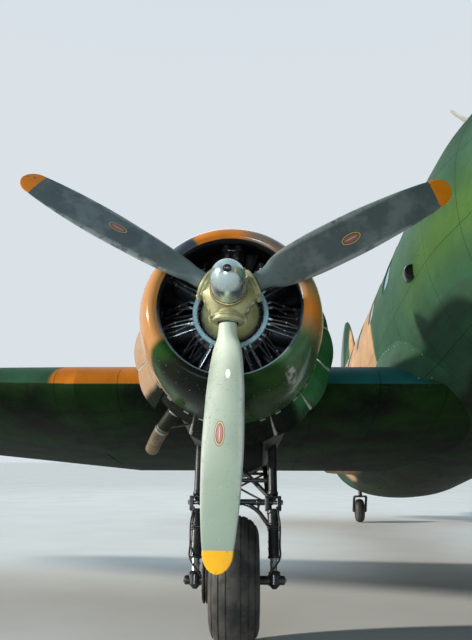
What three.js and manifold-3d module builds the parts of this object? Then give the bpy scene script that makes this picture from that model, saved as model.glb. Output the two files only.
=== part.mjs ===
// A twin-engine military transport plane with a tail wheel, parked on its gear.
// Millimetres. In the level frame x is to the left wing, y is the station aft of the
// nose tip and z the height over the thrust line. The group is then pitched nose up.
import * as THREE from "three";
import { mergeVertices } from "three/addons/utils/BufferGeometryUtils.js";
import Module from "manifold-3d";

const wasm = await Module();
wasm.setup();

// Driving dimensions.
const groundAngle = THREE.MathUtils.degToRad(9.64);
const hubHeight = 2661.6;
const noseTipY = -9854;
const propStation = 2900;
const propRadius = 1765;
const propClock = 181.9;
const engineX = 2820;
const engineFront = 165;
const cowlRadius = 674;
const cowlRear = 930;
const cowlFlapReach = 285;
const cowlFlapAngle = THREE.MathUtils.degToRad(31);
const exhaustRadius = 58;
const nacelleFront = 4050;
const bodyHalf = 1290;
const bodyCentreZ = 850;
const floorZ = 270;
const skin = 60;
const joinGap = 0.4;
const wingChord = 4320;
const wingNose = 4765;
const wingZ = -90;
const wingJointX = 4300;
const wingTipX = 14555;
const wingCamber = 0.02;
const flapDepth = 34;
const flapHinge = 0.84;
const aileronHinge = 0.76;
const tyreRadius = 545;
const wheelRim = 215;
const wheelHalf = 148;
const axleStation = 5060;
const axleZ = -1780;
const legX = 345;
const tailTyreRadius = 280;
const tailWheelHalf = 64;
const tailAxleStation = 16700;
const tailAxleZ = -71.6;
const castorStation = 16480;
const tailplaneZ = 1350;
const tailplaneTipX = 4065;
const elevatorStation = 16950;
const rudderStation = 17600;
const finTopZ = 5145;
const doorFront = 11000;
const doorSplit = 12080;
const doorRear = 13100;
const doorTopZ = 1600;
const doorSkin = 28;
const doorGap = 9;
const leafGap = 15;
const seat = 0.6;
const cabinFront = 3300;
const cabinRear = 13400;
const windowPitch = 990;
const firstWindow = 5370;

const at = (x, y, z) => new THREE.Vector3(x, y, z);

// A manifold solid from plain arrays, turned face out where it came out inside out.
function solidFrom(vertices, triangles) {
  const kept = [];
  for (let i = 0; i < triangles.length; i += 3) {
    const [a, b, c] = [triangles[i], triangles[i + 1], triangles[i + 2]];
    if (a !== b && b !== c && a !== c) kept.push(a, b, c);
  }
  const build = (faces) =>
    new wasm.Manifold(
      new wasm.Mesh({
        numProp: 3,
        vertProperties: new Float32Array(vertices),
        triVerts: new Uint32Array(faces),
      }),
    );
  const made = build(kept);
  return made.volume() < 0 ? build(kept.reverse()) : made;
}

function solidOf(geometry) {
  geometry.deleteAttribute("normal");
  geometry.deleteAttribute("uv");
  const merged = mergeVertices(geometry, 1e-3);
  return solidFrom(merged.attributes.position.array, merged.index.array);
}

const join = (...solids) => solids.flat().reduce((sum, solid) => sum.add(solid));

function block(x0, x1, y0, y1, z0, z1) {
  const geometry = new THREE.BoxGeometry(x1 - x0, y1 - y0, z1 - z0);
  geometry.translate((x0 + x1) / 2, (y0 + y1) / 2, (z0 + z1) / 2);
  return solidOf(geometry);
}

function rod(from, to, radius, endRadius = radius, segments = radius < 45 ? 6 : 8) {
  const axis = to.clone().sub(from);
  const length = axis.length();
  const geometry = new THREE.CylinderGeometry(endRadius, radius, length, segments);
  geometry.translate(0, length / 2, 0);
  const turn = new THREE.Quaternion().setFromUnitVectors(at(0, 1, 0), axis.normalize());
  geometry.applyQuaternion(turn);
  geometry.translate(from.x, from.y, from.z);
  return solidOf(geometry);
}

// Turned about the fore and aft axis, or about an axle where across is set. Points are
// radius and distance along it, and close on themselves or on the axis.
function turned(points, segments, across = false) {
  const profile = points.map(([radius, y]) => new THREE.Vector2(radius, y));
  const geometry = new THREE.LatheGeometry(profile, segments);
  if (across) geometry.rotateZ(Math.PI / 2);
  return solidOf(geometry);
}

// Rings of equal count joined in order, with a fan over each end.
function loft(rings) {
  const count = rings[0].length;
  const vertices = rings.flat().flatMap((p) => [p.x, p.y, p.z]);
  const triangles = [];
  for (let r = 0; r + 1 < rings.length; r++) {
    for (let i = 0; i < count; i++) {
      const a = r * count + i;
      const b = r * count + ((i + 1) % count);
      triangles.push(a, b, a + count, b, b + count, a + count);
    }
  }
  for (const [ring, first, flip] of [
    [rings[0], 0, true],
    [rings.at(-1), (rings.length - 1) * count, false],
  ]) {
    const centre = ring.reduce((sum, p) => sum.add(p), at(0, 0, 0)).divideScalar(count);
    const hub = vertices.length / 3;
    vertices.push(centre.x, centre.y, centre.z);
    for (let i = 0; i < count; i++) {
      const a = first + i;
      const b = first + ((i + 1) % count);
      triangles.push(...(flip ? [b, a, hub] : [a, b, hub]));
    }
  }
  return solidFrom(vertices, triangles);
}

function blend(rows, key, value, name) {
  const after = rows.findIndex((row) => row[key] >= value);
  if (after <= 0) return rows[after < 0 ? rows.length - 1 : 0][name];
  const [a, b] = [rows[after - 1], rows[after]];
  const share = (value - a[key]) / (b[key] - a[key]);
  return a[name] + (b[name] - a[name]) * share;
}

function piece(name, solid, color, roughness = 0.55, metalness = 0) {
  const made = solid.getMesh();
  const geometry = new THREE.BufferGeometry();
  const positions = new THREE.BufferAttribute(made.vertProperties, 3);
  geometry.setAttribute("position", positions);
  geometry.setIndex(new THREE.BufferAttribute(made.triVerts, 1));
  geometry.computeVertexNormals();
  const material = new THREE.MeshStandardMaterial({ color, roughness, metalness });
  const mesh = new THREE.Mesh(geometry, material);
  mesh.name = name;
  return mesh;
}

const paint = {
  green: 0x33512f,
  tan: 0xa98758,
  dark: 0x1f2620,
  belly: 0x15181a,
  metal: 0x8f9496,
  steel: 0x55585a,
  chrome: 0xc9ccd0,
  blade: 0x6f7d80,
  rubber: 0x1b1b1b,
  glass: 0x2a3a44,
};

// The body: half width, top and bottom of each section over the body's centre line.
const bodyRows = [
  { s: 0, half: 60, top: -190, bottom: -310 },
  { s: 60, half: 250, top: -40, bottom: -480 },
  { s: 200, half: 430, top: 100, bottom: -640 },
  { s: 450, half: 620, top: 250, bottom: -800 },
  { s: 850, half: 795, top: 410, bottom: -970 },
  { s: 1300, half: 925, top: 540, bottom: -1080 },
  { s: 1480, half: 960, top: 720, bottom: -1110 },
  { s: 1850, half: 1015, top: 1020, bottom: -1160 },
  { s: 2300, half: 1060, top: 1150, bottom: -1210 },
  { s: 2900, half: 1100, top: 1235, bottom: -1250 },
  { s: 3180, half: 1165, top: 1255, bottom: -1264 },
  { s: 3600, half: 1250, top: 1280, bottom: -1280 },
  { s: 4300, half: bodyHalf, top: 1280, bottom: -1280 },
  { s: 10300, half: bodyHalf, top: 1280, bottom: -1280 },
  { s: 11400, half: 1258, top: 1262, bottom: -1205 },
  { s: 12600, half: 1168, top: 1215, bottom: -1060 },
  { s: 14000, half: 990, top: 1125, bottom: -830 },
  { s: 15500, half: 735, top: 990, bottom: -550 },
  { s: 17000, half: 460, top: 810, bottom: -250 },
  { s: 18200, half: 258, top: 640, bottom: 0 },
  { s: 19050, half: 130, top: 510, bottom: 180 },
  { s: 19400, half: 40, top: 400, bottom: 300 },
];
const bodyPoints = 24;

// The body's section is a little fuller than an oval.
const bodyPower = 2.2;
const fuller = (share) => Math.sign(share) * Math.abs(share) ** (2 / bodyPower);

function bodyRing(s, inset) {
  const half = blend(bodyRows, "s", s, "half") - inset;
  const top = blend(bodyRows, "s", s, "top") - inset;
  const bottom = blend(bodyRows, "s", s, "bottom") + inset;
  return Array.from({ length: bodyPoints }, (_, i) => {
    const turn = (2 * Math.PI * i) / bodyPoints;
    const rise = ((top - bottom) / 2) * fuller(Math.sin(turn));
    return at(half * fuller(Math.cos(turn)), s, bodyCentreZ + (top + bottom) / 2 + rise);
  });
}

// Half width of the body at a station and a height.
function bodyHalfAt(s, z) {
  const [top, bottom] = ["top", "bottom"].map((name) => blend(bodyRows, "s", s, name));
  const rise = (z - bodyCentreZ - (top + bottom) / 2) / ((top - bottom) / 2);
  return blend(bodyRows, "s", s, "half") * (1 - Math.abs(rise) ** bodyPower) ** (1 / bodyPower);
}

function bodyPart(from, to, inset = 0) {
  const between = bodyRows.map((row) => row.s).filter((s) => s > from + 20 && s < to - 20);
  return loft([from, ...between, to].map((s) => bodyRing(s, inset)));
}

// A wing section of four-digit form, as shares of its chord.
const camberPeak = 0.35;
const foilSteps = 9;
const halfDepth = ({ thickness }, u) =>
  5 * thickness * (0.2969 * Math.sqrt(u) - 0.126 * u - 0.3516 * u ** 2 +
    0.2843 * u ** 3 - 0.1036 * u ** 4);
const meanLine = ({ camber = 0 }, u) =>
  u < camberPeak
    ? (camber / camberPeak ** 2) * (2 * camberPeak * u - u * u)
    : (camber / (1 - camberPeak) ** 2) * (1 - 2 * camberPeak + 2 * camberPeak * u - u * u);

// The section's points. Grow pushes its surface out, for a cutter.
function foil(row, grow = 0) {
  const steps = foilSteps;
  const point = (i, side) => {
    const u = 0.5 * (1 - Math.cos((Math.PI * i) / steps));
    const out = side * (i === 0 || i === steps ? 0 : grow);
    const v = (meanLine(row, u) + side * halfDepth(row, u)) * row.chord + out;
    return [u * row.chord + grow * (2 * u - 1), v];
  };
  const upper = Array.from({ length: steps + 1 }, (_, i) => point(i, 1));
  const lower = Array.from({ length: steps - 1 }, (_, i) => point(steps - 1 - i, -1));
  return [...upper, ...lower];
}

function flatSection(row, side, grow) {
  const tilt = THREE.MathUtils.degToRad(row.incidence);
  return foil(row, grow).map(([u, v]) =>
    at(
      side * row.x,
      row.nose + u * Math.cos(tilt) + v * Math.sin(tilt),
      row.z + v * Math.cos(tilt) - u * Math.sin(tilt),
    ),
  );
}

// A moving surface: the part of a wing aft of its hinge, with a round nose about it.
// Returns the fixed part with its cove and the moving part.
// Each hinge station has a point and the section's half depth there.
function hinged(fixed, aft, stations, gap) {
  const along = stations.at(-1).point.clone().sub(stations[0].point).normalize();
  const bar = (grow) =>
    join(
      stations.slice(1).map((to, i) => {
        const from = stations[i];
        const a = from.point.clone().addScaledVector(along, i ? 0 : -grow);
        const last = i + 2 === stations.length;
        const b = to.point.clone().addScaledVector(along, last ? grow : 0);
        return rod(a, b, from.radius + grow, to.radius + grow, 12);
      }),
    );
  const moving = fixed.intersect(aft.inner).add(bar(0).intersect(fixed));
  return { fixed: fixed.subtract(aft.outer).subtract(bar(gap)), moving };
}

// Hinge arms on the fixed part, each ending in an eye that turns in a slot of the other.
function addArms(split, stations, shares, gap) {
  const [first, last] = [stations[0], stations.at(-1)];
  const along = last.point.clone().sub(first.point).normalize();
  for (const share of shares) {
    const point = first.point.clone().lerp(last.point, share);
    const reach = Math.max(...stations.map((station) => station.radius)) + gap;
    const eye = (half, radius) => {
      const [a, b] = [-half, half].map((step) => point.clone().addScaledVector(along, step));
      return rod(a, b, radius, radius, 8);
    };
    const ahead = at(0, -1, 0).addScaledVector(along, along.y).normalize();
    const arm = rod(point, point.clone().addScaledVector(ahead, reach + 25), 7);
    split.moving = split.moving.subtract(eye(9 + seat, reach));
    split.fixed = split.fixed.add(eye(9, 14)).add(arm);
  }
  return split;
}

// A hinge station at a share of the chord, its radius a little over the half depth.
function hingeStation(row, u, side) {
  const tilt = THREE.MathUtils.degToRad(row.incidence);
  const v = meanLine(row, u) * row.chord;
  const y = row.nose + u * row.chord * Math.cos(tilt) + v * Math.sin(tilt);
  const z = row.z + v * Math.cos(tilt) - u * row.chord * Math.sin(tilt);
  return { point: at(side * row.x, y, z), radius: 1.04 * halfDepth(row, u) * row.chord + 5 };
}

// A hinge station of the outer wing, whose skin runs straight from row to row.
function wingHinge(x, u, side) {
  const { rows, share } = rowsAround(x);
  const [from, to] = rows.map((row) => hingeStation(row, u, side));
  const radius = THREE.MathUtils.lerp(from.radius, to.radius, share);
  return { point: from.point.lerp(to.point, share), radius };
}

// A prism along the line from a to b, its ends square to it, so what is cut with it turns
// about the line and stays between its neighbours. Corners are shares aft and up of it.
function prismAlong(a, b, corners, inset) {
  const along = b.clone().sub(a).normalize();
  const aft = at(0, 1, 0).addScaledVector(along, -along.y).normalize();
  const up = along.clone().cross(aft);
  if (up.z < 0) up.negate();
  const ring = (end, shift) =>
    corners.map(([back, rise]) => {
      const corner = end.clone().addScaledVector(along, shift);
      return corner.addScaledVector(aft, back).addScaledVector(up, rise);
    });
  return loft([ring(a, inset), ring(b, -inset)]);
}

// Everything aft of a hinge line, for the moving surface and, grown by gap, for its recess.
function aftPrism(a, b, reach, height, gap) {
  const corners = [[0, -height], [reach, -height], [reach, height], [0, height]];
  return { outer: prismAlong(a, b, corners, -gap), inner: prismAlong(a, b, corners, 0) };
}

const aileronStations = [8700, 12600, 13600];

const wingRows = [
  { x: wingJointX, nose: wingNose, z: wingZ, chord: wingChord, thickness: 0.15, incidence: 2 },
  { x: 12600, nose: 7010, z: 640, chord: 2130, thickness: 0.085, incidence: 1 },
  { x: 13700, nose: 7340, z: 740, chord: 1760, thickness: 0.075, incidence: 1 },
  { x: 14250, nose: 7640, z: 790, chord: 1330, thickness: 0.07, incidence: 1 },
  { x: wingTipX, nose: 8100, z: 820, chord: 620, thickness: 0.06, incidence: 1 },
].map((row) => ({ ...row, camber: wingCamber }));

function centreWing(grow = 0, shift = 0) {
  const rings = [-1, 1].map((side) => flatSection(wingRows[0], side, grow));
  for (const point of rings.flat()) point.x += shift;
  return loft(rings);
}

function outerWing(side, grow = 0) {
  const rows = wingRows.map((row, i) => (i ? row : { ...row, x: row.x + joinGap }));
  return loft(rows.map((row) => flatSection(row, side, grow)));
}

// A split flap lies in a shallow step under the trailing edge, between two stations.
function splitFlap(wing, ends, gap) {
  const [a, b] = ends.map((end) => at(end.x, end.y, end.z));
  const [reach, below] = [1500, 400];
  const climb = ((ends[0].slope + ends[1].slope) / 2) * reach;
  const prism = (inset, lift, front) => {
    const corners = [[-front, -below], [reach, climb - below], [reach, climb + lift], [-front, lift]];
    return prismAlong(a, b, corners, inset);
  };
  let cut = wing.subtract(prism(-gap, flapDepth, gap));
  let flap = wing.intersect(prism(0, flapDepth - gap, 0));
  const along = b.clone().sub(a).normalize();
  const [halfLength, pinRadius] = [40, 6];
  for (const share of [0.15, 0.85]) {
    const point = a.clone().lerp(b, share);
    const knuckle = (half, radius) => {
      const [from, to] = [-half, half].map((step) => point.clone().addScaledVector(along, step));
      return rod(from, to, radius, radius, 8);
    };
    flap = flap.subtract(knuckle(halfLength + seat, pinRadius + seat));
    const root = point.clone().add(at(0, -40, 3));
    cut = join(cut, knuckle(halfLength, pinRadius), rod(point, root, pinRadius, pinRadius, 8));
  }
  return { wing: cut, flap };
}

// The two rows of the wing that x lies between, and how far it is from one to the other.
function rowsAround(x) {
  const after = Math.max(1, wingRows.findIndex((row) => row.x >= x));
  const rows = [wingRows[after - 1], wingRows[after]];
  return { rows, share: Math.max(0, (x - rows[0].x) / (rows[1].x - rows[0].x)) };
}

// Height of the wing's lower skin at a station of one row.
function lowerHeight(row, y) {
  const lower = flatSection(row, 1, 0).slice(foilSteps).sort((a, b) => a.y - b.y);
  const after = lower.findIndex((point) => point.y >= y);
  const [a, b] = [lower[after - 1], lower[after]];
  return a.z + ((b.z - a.z) * (y - a.y)) / (b.y - a.y);
}

// A flap's hinge point on the lower skin, and how the skin slopes aft of it.
function flapEnd(x, chordShare, side) {
  const { rows, share } = rowsAround(x);
  const skinAt = (u) => {
    const spots = rows.map((row) => {
      const y = row.nose + u * row.chord;
      return at(side * row.x, y, lowerHeight(row, y));
    });
    return spots[0].lerp(spots[1], share);
  };
  const [hinge, rear] = [skinAt(chordShare), skinAt(0.97)];
  const slope = (rear.z - hinge.z) / (rear.y - hinge.y);
  return { x: side * x, y: hinge.y, z: hinge.z, slope };
}

function wings() {
  const group = new THREE.Group();
  let centre = centreWing();
  for (const side of [-1, 1]) {
    const name = side > 0 ? "left" : "right";
    const inner = [1420, 4240].map((x) => flapEnd(x, flapHinge, side));
    const cut = splitFlap(centre, inner, 6);
    centre = cut.wing;
    group.add(piece("flap_inner_" + name, cut.flap, paint.belly));
    const ends = [4400, 8500].map((x) => flapEnd(x, flapHinge, side));
    const outer = splitFlap(outerWing(side), ends, 6);
    const hinge = aileronStations.map((x) => wingHinge(x, aileronHinge, side));
    const [from, middle, to] = aileronStations;
    hinge[1].point.lerpVectors(hinge[0].point, hinge[2].point, (middle - from) / (to - from));
    const aft = aftPrism(hinge[0].point, hinge[2].point, 1400, 500, 10);
    const split = addArms(hinged(outer.wing, aft, hinge, 9), hinge, [0.12, 0.88], 9);
    group.add(piece("wing_" + name, split.fixed, paint.green));
    group.add(piece("aileron_" + name, split.moving, paint.tan));
    group.add(piece("flap_outer_" + name, outer.flap, paint.belly));
  }
  group.add(piece("wing_centre", centre, paint.green));
  return group;
}

// Body sections between the nose and the tail cone, hollow over the floor.
function cockpitShell() {
  const cavity = bodyPart(700, cabinFront + 50, skin).intersect(
    block(-1300, 1300, 600, 3500, floorZ, 2300),
  );
  const cuts = [];
  for (const side of [-1, 1]) {
    const [a, b] = side > 0 ? [45, 640] : [-640, -45];
    cuts.push(block(a, b, 1150, 2150, bodyCentreZ + 590, bodyCentreZ + 930));
    const [c, d] = side > 0 ? [650, 1300] : [-1300, -650];
    cuts.push(block(c, d, 1620, 2150, bodyCentreZ + 500, bodyCentreZ + 830));
    cuts.push(block(c, d, 2210, 2800, bodyCentreZ + 500, bodyCentreZ + 850));
  }
  return bodyPart(0, cabinFront).subtract(cavity).subtract(join(cuts));
}

function cockpitGlazing() {
  const outer = bodyPart(1200, 2900, skin + joinGap);
  const inner = bodyPart(1150, 2950, skin + 16);
  const band = block(-1300, 1300, 1250, 2880, bodyCentreZ + 460, bodyCentreZ + 960);
  return outer.subtract(inner).intersect(band);
}

// The fillet between wing and body: a hollow curve at each station.
const filletRows = [
  { s: 4600, width: 40, height: 40, foot: -60 },
  { s: 5000, width: 190, height: 330, foot: 60 },
  { s: 6200, width: 250, height: 400, foot: 120 },
  { s: 7600, width: 320, height: 440, foot: 40 },
  { s: 8800, width: 400, height: 470, foot: -130 },
  { s: 9700, width: 250, height: 400, foot: -150 },
  { s: 10600, width: 40, height: 60, foot: -60 },
];

function wingFillet(side) {
  const rings = filletRows.map(({ s, width, height, foot }) => {
    const wall = blend(bodyRows, "s", s, "half");
    const ring = [at(side * (wall - 500), s, foot - 160), at(side * (wall - 500), s, foot + height)];
    for (let i = 0; i <= 6; i++) {
      const turn = (Math.PI / 2) * (i / 6);
      const x = wall - 60 + (width + 60) * (1 - Math.cos(turn));
      ring.push(at(side * x, s, foot + height * (1 - Math.sin(turn))));
    }
    ring.push(at(side * (wall + width), s, foot - 160));
    return ring;
  });
  return loft(rings);
}

function doorRegion(from, to, gap) {
  return block(500, 1400, from, to, floorZ + 40 + gap, doorTopZ - gap);
}

// The room that an inner flap's end swings through under the fillet.
function flapSwing(side) {
  const [near, far] = [1400, 1720];
  const [x0, x1] = side > 0 ? [near, far] : [-far, -near];
  return block(x0, x1, 8380, 9100, -900, -236);
}

function cabinShell() {
  const cavity = bodyPart(cabinFront - 50, cabinRear + 50, skin).intersect(
    block(-1300, 1300, 3200, cabinRear + 60, floorZ, 2300),
  );
  const windows = [];
  for (let i = 0; i < 8; i++) {
    const s = firstWindow + i * windowPitch;
    const z = bodyCentreZ + 440;
    windows.push(block(i > 5 ? -1400 : 0, 0.5, s - 190, s + 190, z - 210, z + 210));
    windows.push(block(-1400, i > 5 ? -500 : 1400, s - 190, s + 190, z - 210, z + 210));
  }
  return bodyPart(cabinFront + joinGap, cabinRear)
    .add(wingFillet(1))
    .add(wingFillet(-1))
    .subtract(cavity)
    .subtract(join(windows))
    .subtract(doorRegion(doorFront, doorRear, 0))
    .add(join(doorHinges.flatMap((hinge) => doorKnuckles(hinge, false))))
    .subtract(centreWing(joinGap))
    .subtract(join([-1, 1].map(flapSwing)));
}

function cargoDoor(from, to) {
  const inner = bodyPart(from - 200, to + 200, doorSkin);
  return bodyPart(from - 100, to + 100).subtract(inner).intersect(doorRegion(from, to, doorGap));
}

// The door's hinge line leans in with the body side. Two knuckles a side ride on it.
const doorHinges = [
  { s: doorFront + 4, forward: true },
  { s: doorRear - 4, forward: false },
];
const doorHingeZ = 865;
const doorHingeOut = 23.5;
const doorLean = 0.0907;

function doorKnuckles({ s, forward }, onLeaf) {
  const x = bodyHalfAt(s, doorHingeZ) + doorHingeOut;
  const inward = forward === onLeaf ? 70 : -70;
  const shift = onLeaf ? 30 : -30 - seat;
  return [640, 1090].map((z) => {
    const spot = (height) => at(x - doorLean * (height - doorHingeZ), s, height);
    const [low, high] = [spot(z + shift - 30), spot(z + shift + 30)];
    const root = at(bodyHalfAt(s, z) - 16, s + inward, z + shift);
    return join(rod(low, high, 12, 12, 8), rod(spot(z + shift), root, 10, 10, 6));
  });
}

function tailCone(grow = 0) {
  return bodyPart(cabinRear + joinGap, 19400, -grow);
}

const tailplaneRows = [
  { x: 0, nose: 14860, chord: 2930, thickness: 0.1 },
  { x: 3300, nose: 16010, chord: 1760, thickness: 0.09 },
  { x: 3800, nose: 16270, chord: 1450, thickness: 0.085 },
  { x: tailplaneTipX, nose: 16720, chord: 780, thickness: 0.08 },
].map((row) => ({ ...row, z: tailplaneZ, incidence: 0 }));

function tailplane(grow = 0) {
  const rightSide = tailplaneRows.slice(1).reverse().map((row) => flatSection(row, -1, grow));
  const leftSide = tailplaneRows.map((row) => flatSection(row, 1, grow));
  return loft([...rightSide, ...leftSide]);
}

const finRows = [
  { z: 1300, nose: 13500, end: 18700, thickness: 0.06 },
  { z: 2010, nose: 14350, end: 19150, thickness: 0.075 },
  { z: 2300, nose: 15050, end: 19300, thickness: 0.085 },
  { z: 2900, nose: 15500, end: 19400, thickness: 0.085 },
  { z: 3700, nose: 15960, end: 19270, thickness: 0.08 },
  { z: 4400, nose: 16400, end: 18930, thickness: 0.075 },
  { z: 4850, nose: 16800, end: 18480, thickness: 0.07 },
  { z: 5050, nose: 17120, end: 18130, thickness: 0.07 },
  { z: finTopZ, nose: 17450, end: 17800, thickness: 0.07 },
];

function finAndRudder() {
  const rings = finRows.map(({ z, nose, end, thickness }) =>
    foil({ chord: end - nose, thickness, camber: 0 }).map(([u, v]) => at(v, nose + u, z)),
  );
  return loft(rings);
}

function tail() {
  const group = new THREE.Group();
  const hinge = finRows.map((row) => {
    const chord = row.end - row.nose;
    const half = halfDepth(row, (rudderStation - row.nose) / chord) * chord;
    return { point: at(0, rudderStation, row.z), radius: 1.04 * half + 3 };
  });
  const aft = aftPrism(hinge[0].point, hinge.at(-1).point, 2500, 500, 0);
  const blade = hinged(finAndRudder(), aft, hinge, 12);
  addArms(blade, hinge, [0.35, 0.7], 12);
  const cone = tailCone();
  const [slotFront, slotRear] = [elevatorStation - 400, elevatorStation + 10];
  const tubeSlot = block(-30, 30, slotFront, slotRear, tailplaneZ - 20, tailplaneZ + 20);
  const slot = join(tailplane(joinGap), tubeSlot);
  group.add(piece("tail_cone", cone.subtract(slot), paint.tan));
  const clear = tailCone(joinGap);
  group.add(piece("fin", biggest(blade.fixed.subtract(clear)), paint.green));
  const rudderClear = join(tailCone(45), block(-900, 900, 17000, 19500, 1000, 1560));
  group.add(piece("rudder", biggest(blade.moving.subtract(rudderClear)), paint.tan));
  let plane = tailplane();
  for (const side of [-1, 1]) {
    const name = side > 0 ? "left" : "right";
    const line = [500, 3300, 3800, tailplaneTipX].map((x) => {
      const row = { x };
      for (const key of ["nose", "chord", "thickness"]) row[key] = blend(tailplaneRows, "x", x, key);
      const half = halfDepth(row, (elevatorStation - row.nose) / row.chord) * row.chord;
      return { point: at(side * x, elevatorStation, tailplaneZ), radius: 1.04 * half + 3 };
    });
    const behind = aftPrism(line[0].point, line[3].point, 1500, 400, 10);
    const split = addArms(hinged(plane, behind, line, 9), line, [0.15, 0.8], 9);
    plane = split.fixed;
    group.add(piece("elevator_" + name, split.moving, paint.green));
  }
  const stub = block(-520, 520, elevatorStation - 10, 18200, 1000, 1700);
  group.add(piece("tailplane", biggest(plane.subtract(stub)), paint.green));
  return group;
}

const biggest = (solid) =>
  solid.decompose().sort((a, b) => b.volume() - a.volume())[0];

// The nacelle aft of the firewall: half width, top and bottom over the thrust line.
const nacelleRows = [
  { s: nacelleFront, half: 600, top: 600, bottom: -600 },
  { s: 4400, half: 600, top: 585, bottom: -650 },
  { s: 4900, half: 570, top: 530, bottom: -700 },
  { s: 5600, half: 530, top: 450, bottom: -720 },
  { s: 6400, half: 470, top: 350, bottom: -690 },
  { s: 7200, half: 370, top: 220, bottom: -610 },
  { s: 7900, half: 230, top: 40, bottom: -490 },
  { s: 8280, half: 90, top: -120, bottom: -400 },
];

// Stations count from start. Grow pushes the skin and the front out, for a cutter.
function nacelle(grow = 0, start = 0) {
  return loft(
    nacelleRows.map(({ s, half, top, bottom }) =>
      Array.from({ length: bodyPoints }, (_, i) => {
        const turn = (2 * Math.PI * i) / bodyPoints;
        const rise = Math.sin(turn) * ((top - bottom) / 2 + grow);
        const y = s - start - (s === nacelleFront ? grow : 0);
        return at(Math.cos(turn) * (half + grow), y, (top + bottom) / 2 + rise);
      }),
    ),
  );
}

function nacelleBody() {
  const well = block(-265, 265, 4350, 6100, -900, -330);
  return biggest(nacelle().subtract(well).subtract(centreWing(joinGap, -engineX)));
}

// The engine: a crankcase and two rows of seven cylinders, in the prop's own frame.
const engine = { cylinders: 7, frontRow: 540, rearRow: 780, foot: 250, head: 610, bore: 92 };

function engineCore() {
  const rear = nacelleFront - propStation - joinGap;
  const crankcase = turned(
    [
      [0, engineFront], [90, engineFront], [96, 212], [160, 244], [208, 320], [214, 420],
      [290, 450], [290, rear], [0, rear],
    ],
    18,
  );
  const cylinders = [];
  for (const [row, start] of [[engine.frontRow, 0], [engine.rearRow, 0.5]]) {
    for (let i = 0; i < engine.cylinders; i++) {
      const turn = (2 * Math.PI * (i + start)) / engine.cylinders;
      const out = at(Math.sin(turn), 0, Math.cos(turn));
      const spot = (r) => at(out.x * r, row, out.z * r);
      cylinders.push(rod(spot(engine.foot), spot(engine.head), engine.bore, engine.bore, 8));
      if (start) cylinders.push(rod(spot(560), spot(cowlRadius - 16), 22, 22, 4));
    }
  }
  const cowl = turned(cowlPoints.map(([radius, y]) => [radius - joinGap, y]), 28);
  return join(crankcase, cylinders).subtract(cowl);
}

// The cowl's section: out over the lip, back along the skin and forward again inside.
const cowlPoints = [
  [496, 195], [508, 164], [544, 148], [594, 178], [640, 268], [668, 420], [678, 620],
  [cowlRadius, cowlRear], [cowlRadius - 22, cowlRear], [646, 520], [630, 390], [596, 300],
  [506, 225], [496, 195],
];

// The cowl flaps stand open as one flared ring on the cowl's rear edge.
function cowlFlapRing() {
  const rise = cowlFlapReach * Math.sin(cowlFlapAngle);
  const run = cowlFlapReach * Math.cos(cowlFlapAngle);
  const [root, inner, front] = [cowlRadius + 2, cowlRadius - 34, cowlRear + joinGap];
  return turned(
    [
      [root, front], [root + 6, cowlRear + 16], [root + rise, cowlRear + 10 + run],
      [root - 6 + rise, cowlRear + 16 + run], [root - 8, cowlRear + 28], [inner, cowlRear + 28],
      [inner, front], [root, front],
    ],
    28,
  );
}

// The propeller: a hub on the engine's shaft, and three blades, each in a clamped socket.
function propeller() {
  const shaftEnd = engineFront - seat;
  const hub = turned(
    [[0, -110], [118, -110], [128, -90], [128, 100], [90, 118], [84, shaftEnd], [0, shaftEnd]],
    14,
  );
  const clocks = [0, 1, 2].map((i) => THREE.MathUtils.degToRad(propClock + 120 * i));
  const sockets = clocks.map((turn) => {
    const out = at(Math.sin(turn), 0, Math.cos(turn));
    const spot = (r) => out.clone().multiplyScalar(r);
    return join(rod(spot(60), spot(154), 92, 92, 12), rod(spot(152), spot(192), 102, 96, 12));
  });
  return join(hub, sockets, clocks.map(blade));
}

// Chord, thickness and angle to the plane of rotation along a blade.
const bladeRows = [
  { r: 170, chord: 118, thick: 116, pitch: 43 },
  { r: 290, chord: 150, thick: 106, pitch: 41 },
  { r: 360, chord: 222, thick: 90, pitch: 39 },
  { r: 440, chord: 260, thick: 76, pitch: 37 },
  { r: 560, chord: 284, thick: 62, pitch: 34 },
  { r: 720, chord: 300, thick: 50, pitch: 31 },
  { r: 960, chord: 302, thick: 38, pitch: 26.5 },
  { r: 1260, chord: 278, thick: 26, pitch: 22 },
  { r: 1560, chord: 224, thick: 16, pitch: 19 },
  { r: 1680, chord: 180, thick: 12, pitch: 18 },
  { r: 1740, chord: 118, thick: 9, pitch: 18 },
  { r: propRadius, chord: 40, thick: 6, pitch: 18 },
];

// One blade, turned from straight up by its clock angle. Each section is an oval.
function blade(clock) {
  const out = at(Math.sin(clock), 0, Math.cos(clock));
  const ahead = at(-Math.cos(clock), 0, Math.sin(clock));
  const forward = at(0, -1, 0);
  const count = 10;
  const rings = bladeRows.map(({ r, chord, thick, pitch }) => {
    const angle = THREE.MathUtils.degToRad(pitch);
    const [level, slope] = [Math.cos(angle), Math.sin(angle)];
    const along = ahead.clone().multiplyScalar(level).addScaledVector(forward, slope);
    const across = forward.clone().multiplyScalar(level).addScaledVector(ahead, -slope);
    return Array.from({ length: count }, (_, i) => {
      const t = (2 * Math.PI * i) / count;
      return out.clone().multiplyScalar(r)
        .addScaledVector(along, (chord / 2) * Math.cos(t))
        .addScaledVector(across, (thick / 2) * Math.sin(t));
    });
  });
  return loft(rings);
}

function propDome() {
  return turned(
    [
      [0, -455], [44, -446], [82, -418], [106, -370], [115, -300], [115, -150],
      [126, -140], [126, -110 - joinGap], [0, -110 - joinGap],
    ],
    16,
  );
}

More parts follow.
